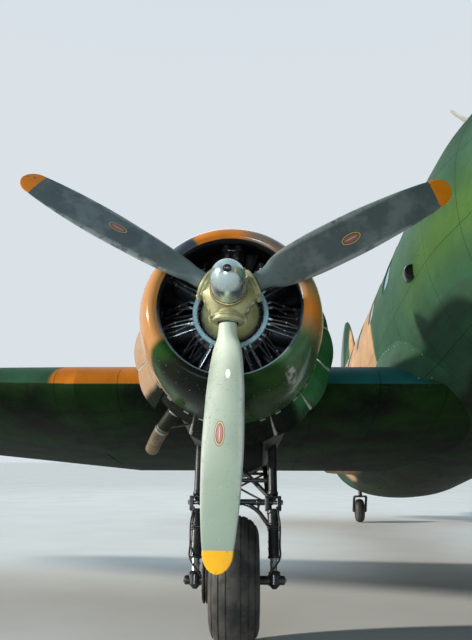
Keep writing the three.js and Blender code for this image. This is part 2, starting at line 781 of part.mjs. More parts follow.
// The stack leaves the cowl's lower outboard edge and runs aft under the nacelle's side.
function exhaustStack(side, radius = exhaustRadius) {
  const bends = [[380, 1148, -400], [470, 1230, -500], [600, 1380, -640], [700, 1640, -735]];
  const curve = new THREE.CatmullRomCurve3(bends.map(([x, y, z]) => at(side * x, y, z)));
  const circle = new THREE.Shape().absarc(0, 0, radius, 0, 2 * Math.PI);
  const geometry = new THREE.ExtrudeGeometry(circle, { steps: 6, curveSegments: 6, extrudePath: curve });
  return solidOf(geometry);
}

// One main gear, about the nacelle's centre plane.
function gearUpper() {
  const parts = [];
  for (const side of [-1, 1]) {
    const top = at(side * legX, 5330, -520);
    const knee = at(side * legX, 5200, -1105);
    parts.push(rod(top, knee, 44));
    const lug = side * legX;
    parts.push(block(lug - 76, lug + 76, 5150, 5245, -1182, -1052));
    parts.push(rod(knee, at(0, 5420, -720), 24));
    const bend = at(side * 235, 5185, -1195);
    parts.push(rod(at(side * 60, 5200, -1112), bend, 20));
    parts.push(rod(bend, at(side * (legX - 12), 5160, -1340), 20));
  }
  parts.push(rod(at(-legX, 5200, -1105), at(legX, 5200, -1105), 32));
  parts.push(rod(at(-300, 5255, -900), at(300, 5255, -900), 22));
  return join(parts);
}

function gearLower(side, grow = 0) {
  const parts = [];
  for (const hand of [-1, 1]) {
    const top = at(hand * legX, 5194, -1180);
    const low = at(hand * legX, 5098, -1600);
    parts.push(rod(top, low, 52 + grow, 50 + grow, 8));
    parts.push(rod(low, at(hand * legX, axleStation, axleZ + 20), 36 + grow, 36 + grow, 8));
    const [above, under] = [80, -74].map((rise) => at(hand * legX, axleStation, axleZ + rise));
    parts.push(rod(above, under, 58, 50, 8));
    const [root, end] = [wheelHalf + seat, 436].map((x) => at(hand * x, axleStation, axleZ));
    parts.push(rod(root, end, 40, 40, 8));
  }
  const brake = side > 0 ? [166, 262] : [-262, -166];
  parts.push(rod(at(brake[0], axleStation, axleZ), at(brake[1], axleStation, axleZ), 186, 186, 16));
  return join(parts);
}

function gearDrag() {
  const parts = [];
  for (const side of [-1, 1]) {
    const low = at(side * legX, 5110, -1560);
    parts.push(rod(low, at(side * 300, 6700, -560), 30));
  }
  parts.push(rod(at(-320, 5960, -1034), at(320, 5960, -1034), 18));
  parts.push(rod(at(-305, 6560, -650), at(305, 6560, -650), 18));
  return join(parts);
}

function tyre(radius, halfWidth, rim, segments) {
  const crown = [];
  for (let i = 0; i <= 6; i++) {
    const turn = -Math.PI / 2 + (Math.PI * i) / 6;
    const wide = halfWidth * Math.sin(turn) * Math.min(1, 1.02 - 0.02 * Math.cos(turn));
    const reach = rim + 40 + (radius - rim - 40) * Math.cos(turn) ** 0.55;
    crown.push([reach, wide]);
  }
  const bead = halfWidth * 0.72;
  const points = [[rim, -bead], ...crown, [rim, bead], [rim, -bead]];
  return turned(points, segments, true);
}

function wheelHub(rim, halfWidth, boss, segments) {
  const [edge, lip] = [rim - joinGap, halfWidth * 1.04];
  const points = [
    [0, -halfWidth], [boss, -halfWidth], [boss * 1.4, -halfWidth * 0.5], [rim * 0.88, -lip],
    [edge, -lip], [edge, lip], [rim * 0.88, lip], [boss * 1.4, halfWidth * 0.5],
    [boss, halfWidth], [0, halfWidth],
  ];
  return turned(points, segments, true);
}

function powerAndGear(side) {
  const name = side > 0 ? "left" : "right";
  const whole = new THREE.Group();
  whole.position.set(side * engineX, 0, 0);
  const power = new THREE.Group();
  power.position.set(0, propStation, 0);
  power.add(piece("propeller_" + name, propeller(), paint.blade, 0.4, 0.6));
  power.add(piece("prop_dome_" + name, propDome(), paint.chrome, 0.3, 0.9));
  power.add(piece("engine_" + name, engineCore(), paint.steel, 0.5, 0.8));
  power.add(piece("cowl_" + name, turned(cowlPoints, 28), paint.tan));
  const flaps = cowlFlapRing().subtract(exhaustStack(side, exhaustRadius + 16));
  power.add(piece("cowl_flaps_" + name, biggest(flaps), paint.green));
  const stack = exhaustStack(side).subtract(nacelle(joinGap, propStation));
  power.add(piece("exhaust_" + name, biggest(stack), paint.metal, 0.4, 0.9));
  whole.add(power);
  const body = nacelle(joinGap);
  whole.add(piece("nacelle_" + name, nacelleBody(), paint.green));
  const wing = centreWing(joinGap, -side * engineX);
  const legs = gearUpper().add(gearLower(side)).subtract(body);
  const drag = gearDrag().subtract(body).subtract(wing).subtract(gearLower(side, joinGap));
  whole.add(piece("gear_legs_" + name, biggest(legs), paint.dark));
  whole.add(piece("gear_drag_" + name, biggest(drag), paint.dark));
  const wheel = new THREE.Group();
  wheel.position.set(0, axleStation, axleZ);
  wheel.add(piece("tyre_" + name, tyre(tyreRadius, 218, wheelRim, 22), paint.rubber, 0.9));
  wheel.add(piece("wheel_" + name, wheelHub(wheelRim, wheelHalf, 70, 22), paint.dark));
  whole.add(wheel);
  return whole;
}

function tailGear() {
  const group = new THREE.Group();
  const clear = tailCone(joinGap);
  const post = join(
    rod(at(0, castorStation, 395), at(0, castorStation, 800), 62, 70, 12),
    rod(at(0, castorStation + 40, 420), at(0, 17250, 800), 34, 34, 8),
  );
  group.add(piece("tail_strut", biggest(post.subtract(clear)), paint.dark));
  const arms = [rod(at(0, castorStation, 230), at(0, castorStation, 395 - seat), 50, 50, 12)];
  arms.push(block(-160, 160, castorStation - 60, castorStation + 60, 225, 262));
  for (const side of [-1, 1]) {
    const from = at(side * 145, castorStation, 250);
    const onAxle = (x) => at(side * x, tailAxleStation, tailAxleZ);
    arms.push(rod(from, onAxle(145), 32, 30, 8));
    arms.push(rod(onAxle(tailWheelHalf + seat), onAxle(172), 20, 20, 8));
  }
  group.add(piece("tail_fork", biggest(join(arms)), paint.dark));
  const wheel = new THREE.Group();
  wheel.position.set(0, tailAxleStation, tailAxleZ);
  wheel.add(piece("tail_tyre", tyre(tailTyreRadius, 105, 110, 16), paint.rubber, 0.9));
  wheel.add(piece("tail_wheel", wheelHub(110, tailWheelHalf, 34, 16), paint.dark));
  group.add(wheel);
  return group;
}

const aircraft = new THREE.Group();
const level = new THREE.Group();
level.add(piece("fuselage_nose", cockpitShell(), paint.green));
level.add(piece("cockpit_glazing", biggest(cockpitGlazing()), paint.glass, 0.1));
level.add(piece("fuselage_cabin", biggest(cabinShell()), paint.green));
for (const [i, name] of ["front", "rear"].entries()) {
  const from = i ? doorSplit + leafGap : doorFront + doorGap;
  const to = i ? doorRear - doorGap : doorSplit - leafGap;
  const leaf = cargoDoor(from, to).add(join(doorKnuckles(doorHinges[i], true)));
  level.add(piece("cargo_door_" + name, biggest(leaf), paint.tan));
}
level.add(wings(), tail(), tailGear(), powerAndGear(1), powerAndGear(-1));
level.rotation.x = -groundAngle;
const hub = at(0, propStation, 0).applyEuler(level.rotation);
level.position.set(0, noseTipY, hubHeight - hub.z);
aircraft.add(level);

export default aircraft;
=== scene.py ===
import math
import bmesh
import bpy
import numpy as np
from mathutils import Matrix, Vector


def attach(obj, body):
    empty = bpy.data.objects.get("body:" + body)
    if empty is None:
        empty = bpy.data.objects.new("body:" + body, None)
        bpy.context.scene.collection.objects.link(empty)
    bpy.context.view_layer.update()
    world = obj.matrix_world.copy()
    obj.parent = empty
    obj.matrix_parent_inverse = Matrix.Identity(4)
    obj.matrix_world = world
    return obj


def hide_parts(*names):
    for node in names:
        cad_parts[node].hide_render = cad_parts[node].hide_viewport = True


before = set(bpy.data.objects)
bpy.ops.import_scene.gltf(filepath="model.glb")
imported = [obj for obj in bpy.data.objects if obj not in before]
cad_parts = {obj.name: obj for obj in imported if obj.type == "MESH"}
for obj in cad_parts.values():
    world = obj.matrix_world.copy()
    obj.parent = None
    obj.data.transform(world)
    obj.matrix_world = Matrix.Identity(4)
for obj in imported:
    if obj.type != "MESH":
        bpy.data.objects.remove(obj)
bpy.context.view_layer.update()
print("frame loaded")

# Everything is drawn level, in millimetres: x to the left wing, y aft of the nose tip and
# z over the thrust line. Each mesh is then pitched nose up and set down as it parks.
engineX, propStation = 2820, 2900
parked = {"pitch": math.radians(9.64), "hubHeight": 2.6616, "noseY": -9.854}
noseRise = parked["hubHeight"] + propStation / 1000 * math.sin(parked["pitch"])
pitchUp = Matrix.Rotation(-parked["pitch"], 4, "X")
levelToWorld = Matrix.Translation((0, parked["noseY"], noseRise)) @ pitchUp
worldToLevel = levelToWorld.inverted()
full = 2 * math.pi
sides = {"left": 1, "right": -1}


# Shaders

class Wire:
    # A shader socket that sums, products and powers can be written with.
    def __init__(self, board, socket):
        self.board = board
        self.socket = socket

    def work(self, operation, *others):
        inputs = dict(enumerate((self,) + others))
        return self.board.node("ShaderNodeMath", {"operation": operation}, inputs)

    def __add__(self, other):
        return self.work("ADD", other)

    __radd__ = __add__

    def __mul__(self, other):
        return self.work("MULTIPLY", other)

    __rmul__ = __mul__

    def __sub__(self, other):
        return self.work("SUBTRACT", other)

    def __rsub__(self, other):
        return self.board.node("ShaderNodeMath", {"operation": "SUBTRACT"}, {0: other, 1: self})

    def __truediv__(self, other):
        return self.work("DIVIDE", other)

    def over(self, edge, soft=0.001):
        return self.board.step(self, edge - soft, edge + soft)

    def under(self, edge, soft=0.001):
        return 1 - self.over(edge, soft)

    def near(self, centre, half, soft):
        return (self - centre).work("ABSOLUTE").under(half, soft)

    # Distance to the closest of lines that lie a pitch apart.
    def toLine(self, pitch, shift=0.0):
        wave = ((self - shift) / pitch).work("FRACT")
        return (0.5 - (wave - 0.5).work("ABSOLUTE")) * pitch

    def lines(self, pitch, half, shift=0.0):
        return self.toLine(pitch, shift).under(half, half * 0.6)


class Board:
    # A material's node tree round one Principled shader, or the world's own tree.
    def __init__(self, name, tree=None, **values):
        self.spot = self.bumps = None
        if tree is not None:
            self.tree = tree
            return
        self.material = bpy.data.materials.new(name)
        self.material.use_nodes = True
        self.tree = self.material.node_tree
        self.shader = self.tree.nodes["Principled BSDF"]
        for socket, value in values.items():
            name = socket[0].upper() + "".join(" " + c if c.isupper() else c for c in socket[1:])
            self.shader.inputs[name.replace("I O R", "IOR")].default_value = value

    def node(self, kind, settings, inputs, out=0):
        made = self.tree.nodes.new(kind)
        for key, value in settings.items():
            if key == "stops":
                stops = made.color_ramp.elements
                while len(stops) < len(value):
                    stops.new(0.5)
                for stop, (place, color) in zip(stops, value):
                    stop.position = place
                    stop.color = (*color, 1)
            else:
                setattr(made, key, value)
        for key, value in inputs.items():
            if isinstance(value, Wire):
                self.tree.links.new(value.socket, made.inputs[key])
            else:
                made.inputs[key].default_value = value
        return Wire(self, made.outputs[out])

    def step(self, value, low, high):
        inputs = {"Value": value, "From Min": low, "From Max": high}
        return self.node("ShaderNodeMapRange", {"interpolation_type": "SMOOTHSTEP"}, inputs)

    # The level place of the point, in metres.
    def place(self):
        if self.spot is None:
            self.spot = self.levelled("Object", "POINT")
        return self.spot

    def coordinates(self):
        return self.split(self.place())

    # A point or a way as it is with the plane drawn level.
    def levelled(self, source, kind):
        found = self.node("ShaderNodeTexCoord", {}, {}, source)
        inputs = {"Vector": found, "Rotation": worldToLevel.to_euler()}
        if kind == "POINT":
            inputs["Location"] = worldToLevel.to_translation()
        return self.node("ShaderNodeMapping", {"vector_type": kind}, inputs)

    def split(self, vector):
        made = self.node("ShaderNodeSeparateXYZ", {}, {0: vector})
        return [Wire(self, socket) for socket in made.socket.node.outputs]

    def facing(self):
        return self.split(self.levelled("Normal", "VECTOR"))

    def chart(self, name):
        return self.split(self.node("ShaderNodeAttribute", {"attribute_name": name}, {}, "Vector"))

    def noise(self, scale, detail=3, roughness=0.5, vector=None, stretch=None):
        vector = vector or self.place()
        if stretch:
            vector = self.node("ShaderNodeVectorMath", {"operation": "MULTIPLY"}, {0: vector, 1: stretch})
        inputs = {"Vector": vector, "Scale": scale, "Detail": detail, "Roughness": roughness}
        return self.node("ShaderNodeTexNoise", {}, inputs)

    def scratches(self, scale, stretch, edge=0.7):
        return self.noise(scale, 2, 0.5, stretch=stretch).over(edge, 0.03)

    def mix(self, first, second, share, blend="MIX"):
        first, second = (c if isinstance(c, Wire) else (*c, 1) for c in (first, second))
        settings = {"data_type": "RGBA", "blend_type": blend, "clamp_factor": True}
        return self.node("ShaderNodeMix", settings, {"Factor": share, 6: first, 7: second}, 2)

    # A share of the colour is multiplied by another.
    def tint(self, color, factor, share):
        return self.mix(color, factor, share, "MULTIPLY")

    def color(self, value):
        self.feed("Base Color", value)

    def feed(self, name, value):
        self.tree.links.new(value.socket, self.shader.inputs[name])

    def bump(self, height, depth, strength=1.0):
        inputs = {"Height": height, "Distance": depth, "Strength": strength}
        if self.bumps:
            inputs["Normal"] = self.bumps
        self.bumps = self.node("ShaderNodeBump", {}, inputs)
        self.feed("Normal", self.bumps)


paintColors = {
    "tan": (0.44, 0.27, 0.15), "orange": (0.64, 0.185, 0.010), "green": (0.026, 0.078, 0.042),
    "leaf": (0.050, 0.115, 0.022), "darkGreen": (0.008, 0.034, 0.017), "brown": (0.060, 0.068, 0.085),
    "black": (0.006, 0.009, 0.006), "grime": (0.07, 0.06, 0.04), "primer": (0.34, 0.36, 0.30),
    "teal": (0.012, 0.085, 0.080),
}


# The wear that all of the painted skin shares: fading, dirt, chips and streaks.
def weather(board, color, gloss=0.42):
    blotch = board.noise(2.3, 4, 0.6)
    fine = board.noise(38, 4, 0.6)
    color = board.tint(color, (0.55, 0.56, 0.52), blotch.over(0.58, 0.14) * 0.5)
    color = board.tint(color, (1.35, 1.3, 1.2), blotch.under(0.42, 0.10) * 0.4)
    streak = board.noise(3.1, 4, 0.7, stretch=(7.0, 0.6, 7.0)).over(0.62, 0.08)
    color = board.mix(color, paintColors["grime"], streak * 0.16)
    chip = board.noise(90, 2, 0.6).over(0.735, 0.012) * board.noise(5, 2).over(0.52, 0.06)
    color = board.mix(color, paintColors["primer"], chip * 0.75)
    board.feed("Roughness", gloss + (fine - 0.5) * 0.22 + streak * 0.16 + chip * 0.15)
    board.bump(fine, 0.0006, 0.35)
    board.bump(board.noise(1.4, 2), 0.012, 0.30)
    return color


# Panel seams and rows of rivets, darker than the skin and pressed into it.
def seams(board, color, lines, rivets):
    lines, rivets = (mask.work("MINIMUM", 1.0) for mask in (lines, rivets))
    color = board.tint(color, (0.22, 0.22, 0.22), lines * 0.85)
    color = board.tint(color, (0.45, 0.44, 0.42), rivets * 0.45)
    board.bump(1 - lines, 0.0016, 0.9)
    board.bump(rivets, 0.0012, 0.8)
    return color


# Rivets sit along a line: near it, and at a pitch along the other coordinate.
def rivetRow(across, along, pitch, size=0.0042):
    return across.under(size, size * 0.5) * along.toLine(pitch).under(size, size * 0.5)


# Black undersides, patched with green as a painted reflection of grass.
def blackBelowWithReflection(board):
    return board.mix(paintColors["black"], (0.010, 0.032, 0.007), board.noise(1.6, 4, 0.6).over(0.50, 0.15))


# Broad patches of tan and dark green over green, and the wobble of their edges.
def camouflage(board):
    sway = board.noise(0.42, 1, 0.3, stretch=(1, 1, 0.6))
    tan = sway.over(0.52, 0.02)
    dark = board.noise(0.5, 1, 0.3, stretch=(0.9, 1.2, 1)).under(0.42, 0.02)
    color = board.mix(paintColors["green"], paintColors["tan"], tan)
    wobble = board.noise(0.55, 2, 0.4) - 0.5
    return board.mix(color, paintColors["darkGreen"], dark * (1 - tan)), wobble


def bodyPaint():
    board = Board("bodyPaint", specularIORLevel=0.10)
    x, y, z = board.coordinates()
    color, wobble = camouflage(board)
    along = y + wobble * 1.2
    leafy = (z + wobble * 1.2).near(0.75, 0.30, 0.35) * y.under(4.3, 0.9)
    front = board.mix(paintColors["green"], paintColors["leaf"], leafy)
    # The crown of the front hull is painted dark green, a painted shade for the top turned from the light.
    front = board.mix(front, paintColors["darkGreen"], (z + wobble).over(1.62, 0.30) * 0.85)
    color = board.mix(front, color, along.over(9.6, 0.04))
    color = board.mix(color, paintColors["tan"], (along - z * 0.25).over(6.1, 0.05) * along.under(9.7, 0.05))
    color = board.mix(color, paintColors["tan"], along.near(1.35, 0.45, 0.04))
    belly = (z + wobble * 0.4 - (y - 10.5).work("MAXIMUM", 0.0) * 0.11).under(-0.19, 0.04)
    color = board.mix(color, blackBelowWithReflection(board), belly)
    lap = (z - 0.85).work("ARCTAN2", x) * 1.25
    frames = y.lines(0.62, 0.003, 0.04)
    stringers = lap.lines(0.655, 0.0028, 0.2)
    dots = rivetRow(y.toLine(0.62, 0.055), lap, 0.034) + rivetRow(lap.toLine(0.655, 0.22), y, 0.034)
    dots = dots + rivetRow(lap.toLine(0.218, 0.1), y, 0.05) * 0.5
    color = seams(board, color, frames + stringers, dots)
    color = weather(board, color, 0.62)
    stain = board.noise(2.0, 3, 0.6, stretch=(3, 0.35, 3)).over(0.55, 0.1) * z.near(0.15, 0.25, 0.2)
    board.color(board.mix(color, (0.03, 0.025, 0.02), stain * 0.35))
    return board.material


def wingPaint():
    board = Board("wingPaint", specularIORLevel=0.03)
    x, y = board.coordinates()[:2]
    color, wobble = camouflage(board)
    span = x.work("ABSOLUTE") + wobble * 0.3 + (y - 4.9) * 0.25
    ahead = y.under(12.0, 0.1)
    color = board.mix(color, paintColors["teal"], span.under(3.6, 0.04) * ahead)
    color = board.mix(color, (0.50, 0.15, 0.012), span.near(4.02, 0.50, 0.03) * ahead)
    color = board.mix(color, paintColors["green"], span.near(5.3, 0.60, 0.03) * ahead)
    below = board.facing()[2].under(-0.05, 0.06)
    swept = y - x.work("ABSOLUTE") * 0.16
    ribs = x.lines(0.60, 0.003, 0.3)
    spars = swept.lines(0.72, 0.0028, 0.1)
    dots = rivetRow(x.toLine(0.60, 0.315), y, 0.034) + rivetRow(swept.toLine(0.72, 0.115), x, 0.034)
    dots = dots + rivetRow(swept.toLine(0.18, 0.02), x, 0.045) * 0.6
    color = board.mix(color, blackBelowWithReflection(board), below)
    color = seams(board, color, ribs + spars, dots)
    board.color(weather(board, color, 0.48 + below * 0.15))
    return board.material


# Fabric covered surfaces: ribs show through the doped skin. An upright one has them level.
def fabricPaint(name, pitch, upright=False):
    board = Board(name, coatWeight=0.2, coatRoughness=0.35)
    color = camouflage(board)[0]
    if not upright:
        below = board.facing()[2].under(-0.05, 0.06)
        color = board.mix(color, paintColors["black"], below)
    ribs = board.coordinates()[2 if upright else 0].toLine(pitch)
    tape = ribs.under(0.022, 0.004)
    board.bump(ribs.under(0.05, 0.05), 0.004, 0.7)
    board.bump(tape, 0.0008, 0.8)
    color = board.tint(color, (0.7, 0.7, 0.68), tape * 0.5)
    board.color(weather(board, color, 0.5))
    return board.material


# The cowls and the cowl flaps: soft sprayed patches round the thrust line, by clock angle.
def cowlPaint(name, petals=False):
    board = Board(name, coatRoughness=0.10, specularIORLevel=0.05)
    x, y, z = board.coordinates()
    across = (x.work("ABSOLUTE") - engineX / 1000) * x.work("SIGN")
    wobble = board.noise(2.2, 3, 0.5) - 0.5
    turn = across.work("ARCTAN2", z)
    arc = turn * 0.69
    clock = turn + wobble * 0.22
    depth = y - 3.065
    pale = (0.36, 0.23, 0.14) if petals else (0.46, 0.29, 0.18)
    color = board.mix(pale, (0.44, 0.20, 0.065), (depth + wobble * 0.3).under(0.16, 0.10))
    if petals:
        mottle = board.noise(1.8, 2).over(0.48, 0.10)
        green = board.mix(paintColors["darkGreen"], (0.028, 0.150, 0.045), mottle)
        color = board.mix(color, green, across.over(0.1, 0.03))
        low = clock.over(2.40, 0.05) + clock.under(-2.12, 0.05)
        color = board.mix(color, paintColors["black"], low)
        lines = y.near(3.88, 0.0016, 0.001)
        steps = arc.toLine(0.309, 0.154)
        dots = rivetRow(y.toLine(0.058, 0.012), arc, 0.032, 0.0036) * steps.over(0.045, 0.004)
        dots = dots * steps.under(0.075, 0.004)
    else:
        color = board.mix(color, paintColors["brown"], clock.near(-0.72, 0.26, 0.07))
        color = board.mix(color, (0.20, 0.13, 0.085), clock.over(-0.49, 0.025))
        color = board.mix(color, paintColors["orange"], clock.over(-0.49, 0.025) * clock.under(0.22, 0.16))
        color = board.mix(color, (0.33, 0.19, 0.085), clock.over(0.85, 0.2))
        color = board.mix(color, paintColors["orange"], clock.near(1.62, 0.16, 0.16) * 0.85)
        color = board.mix(color, (0.05, 0.11, 0.045), clock.over(1.92, 0.14))
        low = clock.over(2.42, 0.10) + (clock + depth * 0.45).under(-2.08, 0.05)
        # The bottom is black, mottled with green as a painted reflection.
        mottle = board.noise(2.6, 2, 0.4).over(0.55, 0.10)
        color = board.mix(color, board.mix(paintColors["black"], (0.016, 0.050, 0.010), mottle), low)
        lines = turn.near(1.047, 0.004, 0.002) + turn.near(-1.047, 0.004, 0.002)
        lines = lines + turn.work("ABSOLUTE").over(3.1385, 0.002) + depth.near(0.105, 0.0024, 0.001)
        joints = (turn.work("ABSOLUTE") - 1.047).work("ABSOLUTE") * 0.69
        dots = rivetRow((joints - 0.022).work("ABSOLUTE"), y, 0.036, 0.004)
        dots = dots + rivetRow(depth.toLine(0.30, 0.125), arc, 0.036, 0.0034)
    color = seams(board, color, lines, dots)
    soot = board.noise(5, 4, 0.6, stretch=(1, 0.3, 1)).over(0.56, 0.1)
    color = board.mix(color, (0.03, 0.025, 0.015), soot * 0.18)
    fine = board.noise(60, 3, 0.6)
    chip = board.noise(120, 2, 0.5).over(0.74, 0.01) * board.noise(7, 2).over(0.5, 0.05)
    color = board.mix(color, (0.55, 0.52, 0.45), chip)
    if not petals:
        scuff = spotMask(board, (across - 0.42) / 0.05, (z + 0.475) / 0.05) * depth.under(0.3, 0.1)
        color = board.mix(color, (0.33, 0.33, 0.30), scuff * board.noise(26, 4, 0.7).over(0.5, 0.08))
    board.feed("Roughness", 0.26 + (fine - 0.5) * 0.12 + soot * 0.12)
    board.feed("Coat Weight", (0.2 if petals else 0.55) * (1 - low))
    board.bump(board.noise(4, 2), 0.004, 0.25)
    board.color(color)
    return board.material


# A soft round spot of two coordinates that are already scaled to its size.
def spotMask(board, a, b):
    return board.step(a * a + b * b, 1.0, 0.35)


def nacellePaint():
    board = Board("nacellePaint", specularIORLevel=0.15)
    y, z = board.coordinates()[1:]
    color, wobble = camouflage(board)
    color = board.mix(paintColors["green"], color, y.over(4.9, 0.03))
    low = (z + wobble * 0.3).under(-0.12, 0.03)
    color = board.mix(color, (0.008, 0.016, 0.008), low)
    lines = y.lines(0.62, 0.003, 0.25)
    dots = rivetRow(y.toLine(0.62, 0.265), z, 0.034) + rivetRow(z.toLine(0.23, 0.05), y, 0.036)
    color = seams(board, color, lines, dots)
    oil = board.noise(2.5, 4, 0.6, stretch=(4, 0.4, 4)).over(0.5, 0.12)
    color = board.mix(color, (0.02, 0.014, 0.008), oil * 0.5)
    board.color(weather(board, color, 0.5))
    return board.material


# Plain metals and finishes: a colour with blotches, fine grain and dirt in it.
def metal(name, base, dirt, metallic, rough, grain=60, patch=6, depth=0.0006, share=0.6, **more):
    board = Board(name, **more)
    fine = board.noise(grain, 4, 0.6)
    mask = board.noise(patch, 4, 0.6).over(0.53, 0.14)
    color = board.mix(base, dirt, mask * share)
    board.color(board.tint(color, (0.6, 0.6, 0.6), fine.over(0.6, 0.1) * 0.4))
    board.feed("Roughness", rough + (fine - 0.5) * 0.3 + mask * 0.12)
    board.feed("Metallic", metallic - mask * metallic * 0.35)
    board.bump(fine, depth, 0.5)
    return board.material


# The blades carry a chart: distance along the chord, radius and which blade it is, in metres.
def bladePaint():
    board = Board("bladePaint", specularIORLevel=0.3)
    chord, radius, which = board.chart("bladeChart")
    fore = board.chart("bladeFace")[0]
    upper = which.over(0.5)
    # The bottom blade is painted as the sunlit one and the upper two as shaded copies of the same paint: the
    # pale tone is painted light, the dark one painted shade.
    pale = board.mix((0.235, 0.30, 0.235), (0.195, 0.25, 0.205), board.noise(2.6, 3).over(0.5, 0.2))
    shadedBladeTone = board.mix((0.072, 0.092, 0.096), (0.130, 0.155, 0.155), board.noise(3.4, 4, 0.65).over(0.54, 0.10))
    color = board.mix(pale, shadedBladeTone, upper)
    # Root stains, mostly kept off the bottom blade so that it stays light, as painted light.
    stained = radius.under(0.62, 0.25) * board.noise(7, 4, 0.6).over(0.48, 0.14) * (0.2 + upper * 0.8)
    color = board.mix(color, (0.13, 0.125, 0.085), stained * 0.5)
    root = radius.under(0.42, 0.14)
    # The bottom blade's root is painted paler still, more painted light.
    color = board.mix(color, (0.46, 0.52, 0.42), root * (1 - upper))
    color = board.mix(color, (0.12, 0.165, 0.165), root * upper * 0.7)
    worn = chord.work("ABSOLUTE").over(0.118, 0.012) * board.noise(12, 4, 0.6).over(0.45, 0.1)
    color = board.mix(color, (0.34, 0.35, 0.33), worn * 0.6)
    scratch = board.scratches(26, (1, 1, 7), 0.665) * board.noise(2.2, 2).over(0.52, 0.06)
    color = board.mix(color, (0.05, 0.05, 0.045), scratch * 0.55)
    flecks = board.noise(75, 2, 0.5).over(0.745, 0.012)
    color = board.mix(color, (0.50, 0.50, 0.44), flecks * 0.5)
    nicks = board.scratches(60, (1, 1, 4), 0.70) * board.noise(9, 2).over(0.5, 0.06)
    color = board.mix(color, (0.035, 0.035, 0.030), nicks * 0.7)
    chip = oval(chord, radius, 0.040, 0.555, 0.019, 0.030)
    color = board.mix(color, (0.55, 0.60, 0.54), chip * (1 - upper) * fore)
    rings = ((0.040, 0.080, (0.030, 0.022, 0.010)), (0.0365, 0.0755, (0.42, 0.33, 0.130)),
             (0.029, 0.066, (0.035, 0.028, 0.020)), (0.024, 0.060, (0.30, 0.105, 0.095)))
    for half, tall, tone in rings:
        color = board.mix(color, tone, oval(chord, radius, -0.015, 0.935, half, tall) * fore)
    band = oval(chord, radius, -0.015, 0.935, 0.0042, 0.046)
    color = board.mix(color, (0.46, 0.38, 0.34), band * fore * 0.85)
    # Yellow tips, painted darker orange on the upper blades as painted shade, with some random tone.
    tip = radius.over(1.632, 0.0015)
    shadedTip = upper * 0.85 + board.noise(9, 3).over(0.6, 0.15) * 0.15
    color = board.mix(color, board.mix((0.72, 0.37, 0.0), (0.58, 0.135, 0.0), shadedTip), tip)
    color = board.mix(color, (0.12, 0.09, 0.05), tip * board.noise(40, 3, 0.7).over(0.66, 0.02))
    board.color(color)
    fine = board.noise(85, 3, 0.6)
    board.feed("Roughness", 0.46 + (fine - 0.5) * 0.2 + stained * 0.15 + scratch * 0.2)
    board.feed("Metallic", 0.25 * upper * (1 - tip))
    board.bump(fine, 0.0004, 0.4)
    board.bump(scratch, 0.0006, 0.6)
    return board.material


def oval(chord, radius, centreChord, centreRadius, half, tall):
    a = (chord - centreChord) / half
    b = (radius - centreRadius) / tall
    return (a * a + b * b).under(1.0, 0.06)


def rubber():
    board = Board("tyreRubber", specularIORLevel=0.35)
    fine = board.noise(55, 4, 0.65)
    dust = board.noise(6, 4, 0.6).over(0.48, 0.14) * 0.8 + fine.over(0.62, 0.1) * 0.3
    worn = board.mix((0.028, 0.027, 0.026), (0.085, 0.080, 0.070), dust)
    board.color(board.mix(worn, (0.16, 0.14, 0.10), board.noise(14, 3).over(0.66, 0.05) * 0.35))
    board.feed("Roughness", 0.72 + (fine - 0.5) * 0.3)
    board.bump(fine, 0.0012, 0.6)
    board.bump(board.scratches(30, (1, 6, 6), 0.64), 0.0015, 0.5)
    return board.material


def glassPane():
    board = Board("windowGlass", specularIORLevel=0.5, coatWeight=0.35, coatRoughness=0.02)
    dust = board.noise(8, 4, 0.6).over(0.55, 0.15)
    board.color(board.mix((0.085, 0.245, 0.390), (0.16, 0.28, 0.37), dust * 0.4))
    board.feed("Roughness", 0.05 + dust * 0.12)
    board.feed("Alpha", 0.80 + dust * 0.12)
    return board.material


def lampGlass(name, color, glow):
    board = Board(name, emissionStrength=glow, coatWeight=0.8, coatRoughness=0.05)
    swirl = board.noise(30, 2)
    tone = board.mix(color, tuple(c * 0.7 for c in color), swirl.over(0.5, 0.2))
    board.color(tone)
    board.feed("Emission Color", tone)
    board.feed("Roughness", 0.12 + swirl * 0.1)
    return board.material


def canvas():
    board = Board("seatCanvas", sheenWeight=0.3)
    x, y = board.coordinates()[:2]
    weave = (y * 900).work("SINE") * (x * 900).work("SINE")
    board.color(board.mix((0.05, 0.06, 0.03), (0.085, 0.09, 0.05), board.noise(9, 3).over(0.5, 0.2)))
    board.feed("Roughness", 0.85 + weave * 0.05)
    board.bump(weave, 0.0006, 0.5)
    return board.material


# The cowl's inner edge: near-black above as painted shade, and bright bluish below as a painted reflection.
def lipMetal():
    board = Board("lipMetal", metallic=0.7)
    fine = board.noise(90, 4, 0.6)
    reflectionBelow = board.coordinates()[2].under(-0.08, 0.16) * board.noise(7, 3).under(0.62, 0.1)
    board.color(board.mix((0.018, 0.022, 0.028), (0.30, 0.40, 0.50), reflectionBelow))
    board.feed("Roughness", 0.32 + (fine - 0.5) * 0.3)
    board.bump(fine, 0.0003, 0.5)
    return board.material


